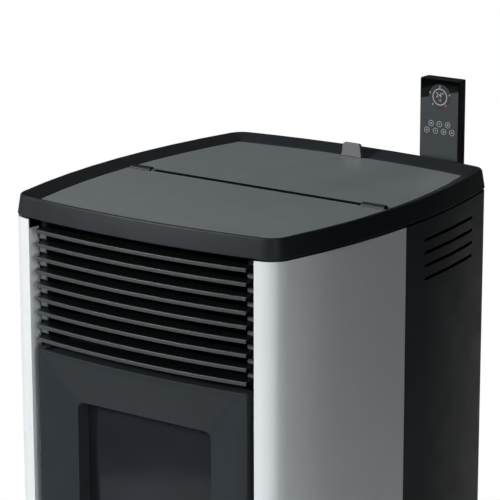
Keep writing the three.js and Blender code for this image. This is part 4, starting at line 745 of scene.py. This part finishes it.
# signs on the control panel in millimetres, from the middle of the glass and above the floor
DISPLAY_MIDDLE = (1.2, 1206.0)
DEGREES_MIDDLE = (1.2, 1208.6)
LEVEL_MIDDLE = (1.2, 1200.6)
DISPLAY_MARKS = [(-16.8, 1211.7), (0.9, 1222.2), (18.8, 1210.4), (-11.7, 1193.5)]
WARNING_MARK = (11.8, 1193.1)
KEYS = [(-14.1, 1162.7), (1.1, 1162.7), (16.3, 1162.7),
        (-21.9, 1151.3), (-6.1, 1151.3), (9.1, 1151.3), (24.2, 1151.3)]

SIGN_DEPTH = 0.15 * MM
SIGN_GAP = 0.02 * MM              # between the glass and a sign
MARK_RADIUS, MARK_LINE = 1.3 * MM, 0.9 * MM
WARNING_RADIUS, WARNING_LINE = 2.2 * MM, 1.6 * MM
DISC_SIZE = 1.5                   # disc behind the display, to the radius of its ring
DISC_DEPTH = 0.03 * MM
DISC_BORDER = 1.5 * MM
RING_SIDES, KEY_SIDES, MARK_SIDES = 64, 40, 16
KEY_SIGN_SIDES = (4, 3, 5)        # a square, a triangle and a pentagon in turn
KEY_SIGN_RADIUS = 1.6 * MM
KEY_SIGN_BORDER = 0.5 * MM
KEY_SIGN_HOLLOW = 0.05 * MM
FIGURE_WELD = 0.005 * MM


class STOVE_OT_panel_signs(bpy.types.Operator):
    """Models the lit ring, the figures and the key signs on the control panel"""

    bl_idname = "stove.panel_signs"
    bl_label = "Panel signs"

    def execute(self, context):
        sizes = context.scene.stove_sizes
        low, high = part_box("handset_glass")
        middle = (low.x + high.x) / 2

        def at(sign, gap=SIGN_GAP):
            return Vector((middle + sign[0] * MM, low.y - gap, sign[1] * MM))

        def ring(name, radius, line, place, sides):
            return band(name, radius, line, SIGN_DEPTH, at(place), sides)

        signs = [
            ring("display_ring", sizes.ring_radius, sizes.ring_width, DISPLAY_MIDDLE, RING_SIDES),
            self.figures("24\u00b0", sizes.digit_height, at(DEGREES_MIDDLE, SIGN_DEPTH)),
            self.figures("15", sizes.digit_height / 2, at(LEVEL_MIDDLE, SIGN_DEPTH)),
        ]
        signs += [ring("mark", MARK_RADIUS, MARK_LINE, mark, MARK_SIDES) for mark in DISPLAY_MARKS]
        for index, key in enumerate(KEYS):
            signs.append(ring("key_ring", sizes.key_radius, sizes.key_line, key, KEY_SIDES))
            signs.append(self.key_sign(index, at(key)))
        handed(merged(signs, "panel_signs"), "handset", "gloss_black", finish="panel_marking")
        warning = ring("panel_warning", WARNING_RADIUS, WARNING_LINE, WARNING_MARK, MARK_SIDES)
        handed(warning, "handset", "gloss_black", finish="panel_warning")
        disc = drum("display_disc", sizes.ring_radius * DISC_SIZE, DISC_DEPTH, at(DISPLAY_MIDDLE),
                    RING_SIDES, UPRIGHT)
        edited(disc, looking(FRONT), inset(DISC_BORDER))
        handed(disc, "handset", "gloss_black", finish="display_dim")
        return {"FINISHED"}

    def figures(self, number, height, place):
        """Figures made from text, as a closed mesh."""
        cleared()
        bpy.ops.object.text_add(location=place, rotation=UPRIGHT)
        text = bpy.context.active_object
        text.data.body = number
        text.data.size = height
        text.data.align_x = "CENTER"
        text.data.align_y = "CENTER"
        text.data.extrude = SIGN_DEPTH / 2
        only(text)
        bpy.ops.object.convert(target="MESH")
        return edited(settled(added("figures")), every,
                      (bpy.ops.mesh.remove_doubles, {"threshold": FIGURE_WELD}))

    def key_sign(self, index, place):
        """A small shape with a sunk middle."""
        sides = KEY_SIGN_SIDES[index % len(KEY_SIGN_SIDES)]
        sign = drum("key_sign", KEY_SIGN_RADIUS, SIGN_DEPTH, place, sides, UPRIGHT)
        return edited(sign, looking(FRONT), inset(KEY_SIGN_BORDER), pulled(BACK * KEY_SIGN_HOLLOW))


PAD_HEIGHT = 12 * MM
PAD_SHOULDER = 6 * MM             # top of a pad, from its rim to its collar
COLLAR_RISE = 4 * MM
COLLAR_WALL = 3 * MM
COLLAR_HOLLOW = 2 * MM
PAD_EASE = 0.8 * MM
STUD_RADIUS = 5 * MM
STUD_LOW = 13.5 * MM              # lower end of a stud above the floor
STUD_BORDER = 0.9 * MM
STUD_POINT = 0.5 * MM
NUT_RADIUS = 10 * MM
NUT_HEIGHT = 6 * MM
NUT_MIDDLE = 26.5 * MM
NUT_EASE = 0.7 * MM
PAD_SIDES, STUD_SIDES, NUT_SIDES = 40, 24, 6


class STOVE_OT_feet(bpy.types.Operator):
    """Models the rubber pad, the stud and the nut of each levelling foot"""

    bl_idname = "stove.feet"
    bl_label = "Levelling feet"

    def execute(self, context):
        first = FEET[0]
        low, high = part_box(first)
        floor = Vector(((low.x + high.x) / 2, (low.y + high.y) / 2, 0))
        pad = drum("foot_pad", (high.x - low.x) / 2, PAD_HEIGHT, floor + UP * PAD_HEIGHT / 2,
                   PAD_SIDES)
        edited(pad, looking(UP),
               inset(PAD_SHOULDER), pulled(UP * COLLAR_RISE),
               inset(COLLAR_WALL), pulled(UP * -COLLAR_HOLLOW))
        eased(pad, PAD_EASE)
        stud = drum("foot_stud", STUD_RADIUS, high.z - STUD_LOW,
                    floor + UP * (high.z + STUD_LOW) / 2, STUD_SIDES)
        edited(stud, lambda face: abs(face.normal.z) > SAME_WAY,
               inset(STUD_BORDER), (bpy.ops.transform.shrink_fatten, {"value": STUD_POINT}))
        nut = drum("foot_nut", NUT_RADIUS, NUT_HEIGHT, floor + UP * NUT_MIDDLE, NUT_SIDES)
        eased(nut, NUT_EASE)
        steel = merged([stud, nut], "foot_stud_" + first[-2:])
        for foot in FEET:
            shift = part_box(foot)[0] - low
            ending = foot[-2:]
            own_pad = pad if foot == first else copied(pad, "foot_pad_" + ending, shift)
            own_steel = steel if foot == first else copied(steel, "foot_stud_" + ending, shift)
            handed(own_pad, "stove_body", "foot_rubber", foot)
            handed(own_steel, "stove_body", "bare_steel")
        return {"FINISHED"}


SCREW_COUNT = 6                   # down each side of the back panel
SCREW_INSET = 9 * MM              # from the side of the panel
SCREW_END = 40 * MM               # first and last screw from the ends of the panel
SCREW_GAP = 0.05 * MM             # between a head and the panel
SCREW_HEIGHT = 2.4 * MM
SCREW_SIDES = 24
SCREW_RIM = 0.55                  # rim round the socket, to the radius of the head
SOCKET_DEPTH = 1.2 * MM
SCREW_EASE = 0.5 * MM


class STOVE_OT_screws(bpy.types.Operator):
    """Models the pan-head screws that hold the back panel"""

    bl_idname = "stove.screws"
    bl_label = "Screws"

    def execute(self, context):
        radius = context.scene.stove_sizes.screw_radius
        low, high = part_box("back_panel")
        x = high.x - SCREW_INSET
        y = high.y + SCREW_GAP + SCREW_HEIGHT / 2
        bottom = low.z + SCREW_END
        pitch = (high.z - low.z - 2 * SCREW_END) / (SCREW_COUNT - 1)
        head = drum("screw", radius, SCREW_HEIGHT, (x, y, bottom), SCREW_SIDES, UPRIGHT)
        edited(head, looking(BACK), inset(radius * SCREW_RIM), pulled(FRONT * SOCKET_DEPTH))
        eased(head, SCREW_EASE)
        screws = [copied(head, "screw", (across, 0, step * pitch))
                  for across in (0, -2 * x) for step in range(SCREW_COUNT)]
        only(head)
        bpy.ops.object.delete()
        handed(merged(screws, "back_panel_screws"), "stove_body", "black_paint")
        return {"FINISHED"}


# ---------------------------------------------------------------- the studio

CAMERA_PLACE = Vector((2.2662, -3.1149, 1.9984))
CAMERA_TURN = math.radians(36.27)       # to the right of the stove's front
CAMERA_RISE = math.radians(14.552)
CAMERA_ROLL = math.radians(-0.117)
CAMERA_REACH = 60
IMAGE_SIDE = 500
FOCAL_PIXELS = 2603
SENSOR = 36

WHITE = (1, 1, 1)
AMBIENT = 0.12
STOVE_MIDDLE = Vector((0, 0, 0.85))

# each lamp: name, place, level on a white surface at the stove, width, tint, and whether
# glossy surfaces mirror it
LAMPS = [
    ("key", Vector((-2.2, -3.4, 2.6)), 1.0, 1.0, WHITE, True),
    ("side_fill", Vector((3.4, -1.4, 1.7)), 1.3, 1.6, (0.9, 0.97, 1), True),
    ("overhead", Vector((-0.5, -0.5, 4.6)), 0.3, 2.0, WHITE, True),
    ("rear_fill", Vector((1.2, 3.6, 2.2)), 0.3, 2.0, WHITE, False),
]

# each flag: name, place, turn about Z, width and height
FLAGS = [
    ("right_flag", (1.3, 1.5, 1.35), math.pi / 2, 4.8, 2.6),
    ("rear_flag", (-1.7, 2.6, 1.9), math.radians(33), 4.4, 3.4),
    ("front_flag", (-1.3, -1.8, 0.45), math.radians(-36), 2.2, 0.9),
]
FLAG_BLACK = 0.002

FLOOR_RADIUS = 9
FLOOR_SIDES = 96
FLOOR_SHADE = 0.88
FLOOR_FADE = (0.7, 1.7)           # the floor turns plain white between these distances


def white_for_view(tree, lit, white, share=1.0):
    """Mixes in a plain white that only the camera sees, straight or through glass."""
    rays = add_node(tree, "ShaderNodeLightPath").outputs
    direct = add_node(tree, "ShaderNodeMath", {
        0: rays["Is Camera Ray"], 1: rays["Is Transmission Ray"]}, operation="MAXIMUM")
    shown = add_node(tree, "ShaderNodeMath", {0: direct.outputs[0], 1: share}, operation="MULTIPLY")
    mix = add_node(tree, "ShaderNodeMixShader", {"Fac": shown.outputs[0], 1: lit, 2: white})
    return mix.outputs[0]


def light_world():
    """A weak even light from all round, behind the white that the camera sees."""
    world = bpy.data.worlds.new("studio")
    bpy.context.scene.world = world
    world.use_nodes = True
    tree = world.node_tree
    ambient = tree.nodes["Background"]
    ambient.inputs["Color"].default_value = (*WHITE, 1)
    ambient.inputs["Strength"].default_value = AMBIENT
    white = add_node(tree, "ShaderNodeBackground", {"Color": (*WHITE, 1), "Strength": 1})
    mixed = white_for_view(tree, ambient.outputs[0], white.outputs[0])
    tree.links.new(mixed, tree.nodes["World Output"].inputs["Surface"])


def lay_floor():
    """A pale round floor that keeps the shadow and fades into the white of the background."""
    cleared()
    bpy.ops.mesh.primitive_circle_add(vertices=FLOOR_SIDES, radius=FLOOR_RADIUS, fill_type="NGON")
    floor = added("floor")
    material = bpy.data.materials.new("pale_floor")
    material.use_nodes = True
    tree = material.node_tree
    tree.nodes.clear()
    matt = add_node(tree, "ShaderNodeBsdfDiffuse", {"Color": (*scaled(WHITE, FLOOR_SHADE), 1)})
    white = add_node(tree, "ShaderNodeEmission", {"Strength": 1})
    place = add_node(tree, "ShaderNodeTexCoord").outputs["Object"]
    reach = add_node(tree, "ShaderNodeVectorMath", {0: place}, operation="LENGTH")
    fade = add_node(tree, "ShaderNodeMapRange", {
        "Value": reach.outputs["Value"], "From Min": FLOOR_FADE[0], "From Max": FLOOR_FADE[1],
    }, interpolation_type="SMOOTHSTEP")
    mixed = white_for_view(tree, matt.outputs[0], white.outputs[0], fade.outputs["Result"])
    add_node(tree, "ShaderNodeOutputMaterial", {"Surface": mixed})
    floor.data.materials.append(material)


def stand_flags():
    """Black cards, unseen by the camera, that keep the right side and the top's sheen dark."""
    material = bpy.data.materials.new("black_card")
    material.use_nodes = True
    shader = material.node_tree.nodes["Principled BSDF"]
    shader.inputs["Base Color"].default_value = (*scaled(WHITE, FLAG_BLACK), 1)
    shader.inputs["Specular IOR Level"].default_value = 0
    for name, place, turn, width, height in FLAGS:
        cleared()
        bpy.ops.mesh.primitive_plane_add(size=1, location=place, rotation=(math.pi / 2, 0, turn))
        flag = added(name)
        flag.scale = (width, height, 1)
        settled(flag)
        flag.data.materials.append(material)
        flag.visible_camera = False


def hang_lamp(name, place, level, width, tint, mirrored):
    """A square lamp that looks at the stove, as bright there whatever its distance."""
    bpy.ops.object.light_add(type="AREA", location=place)
    lamp = added(name)
    direction = STOVE_MIDDLE - place
    lamp.rotation_euler = direction.to_track_quat("-Z", "Y").to_euler()
    lamp.data.size = width
    lamp.data.color = tint
    lamp.visible_glossy = mirrored
    lamp.data.energy = level * (math.pi * direction.length) ** 2


def place_camera():
    """The camera at the photograph's place, turn and focal length."""
    bpy.ops.object.camera_add(location=CAMERA_PLACE)
    camera = added("camera")
    level = math.cos(CAMERA_RISE)
    look = Vector((-math.sin(CAMERA_TURN) * level, math.cos(CAMERA_TURN) * level,
                   -math.sin(CAMERA_RISE)))
    turn = look.to_track_quat("-Z", "Y") @ Quaternion((0, 0, 1), CAMERA_ROLL)
    camera.rotation_euler = turn.to_euler()
    camera.data.sensor_width = SENSOR
    camera.data.lens = FOCAL_PIXELS / IMAGE_SIDE * SENSOR
    camera.data.clip_end = CAMERA_REACH
    bpy.context.scene.camera = camera


class STOVE_OT_stage(bpy.types.Operator):
    """Lays the floor, hangs the lamps and places the camera"""

    bl_idname = "stove.stage"
    bl_label = "Studio"

    def execute(self, context):
        context.scene.view_settings.view_transform = "Standard"
        light_world()
        lay_floor()
        stand_flags()
        for lamp in LAMPS:
            hang_lamp(*lamp)
        place_camera()
        return {"FINISHED"}


# ---------------------------------------------------------------- panel, registration and run

STEPS = [STOVE_OT_finishes, STOVE_OT_cad_nodes, STOVE_OT_lid_edging, STOVE_OT_light_patch_plates,
         STOVE_OT_panel_signs, STOVE_OT_feet, STOVE_OT_screws, STOVE_OT_stage]


class STOVE_PT_panel(bpy.types.Panel):
    """Lists the steps that dress the stove"""

    bl_label = "Pellet Stove"
    bl_idname = "STOVE_PT_panel"
    bl_space_type = "VIEW_3D"
    bl_region_type = "UI"
    bl_category = "Pellet Stove"

    def draw(self, context):
        for group in (context.scene.stove_colours, context.scene.stove_sizes):
            column = self.layout.column()
            for name in group.__annotations__:
                column.prop(group, name)
        for step in STEPS:
            self.layout.operator(step.bl_idname)


CLASSES = [StoveColours, StoveSizes, *STEPS, STOVE_PT_panel]


def register():
    for one in CLASSES:
        bpy.utils.register_class(one)
    bpy.types.Scene.stove_colours = bpy.props.PointerProperty(type=StoveColours)
    bpy.types.Scene.stove_sizes = bpy.props.PointerProperty(type=StoveSizes)


def unregister():
    del bpy.types.Scene.stove_colours
    del bpy.types.Scene.stove_sizes
    for one in reversed(CLASSES):
        bpy.utils.unregister_class(one)


def main():
    register()
    for step in STEPS:
        group, name = step.bl_idname.split(".")
        getattr(getattr(bpy.ops, group), name)()


if __name__ == "__main__":
    main()
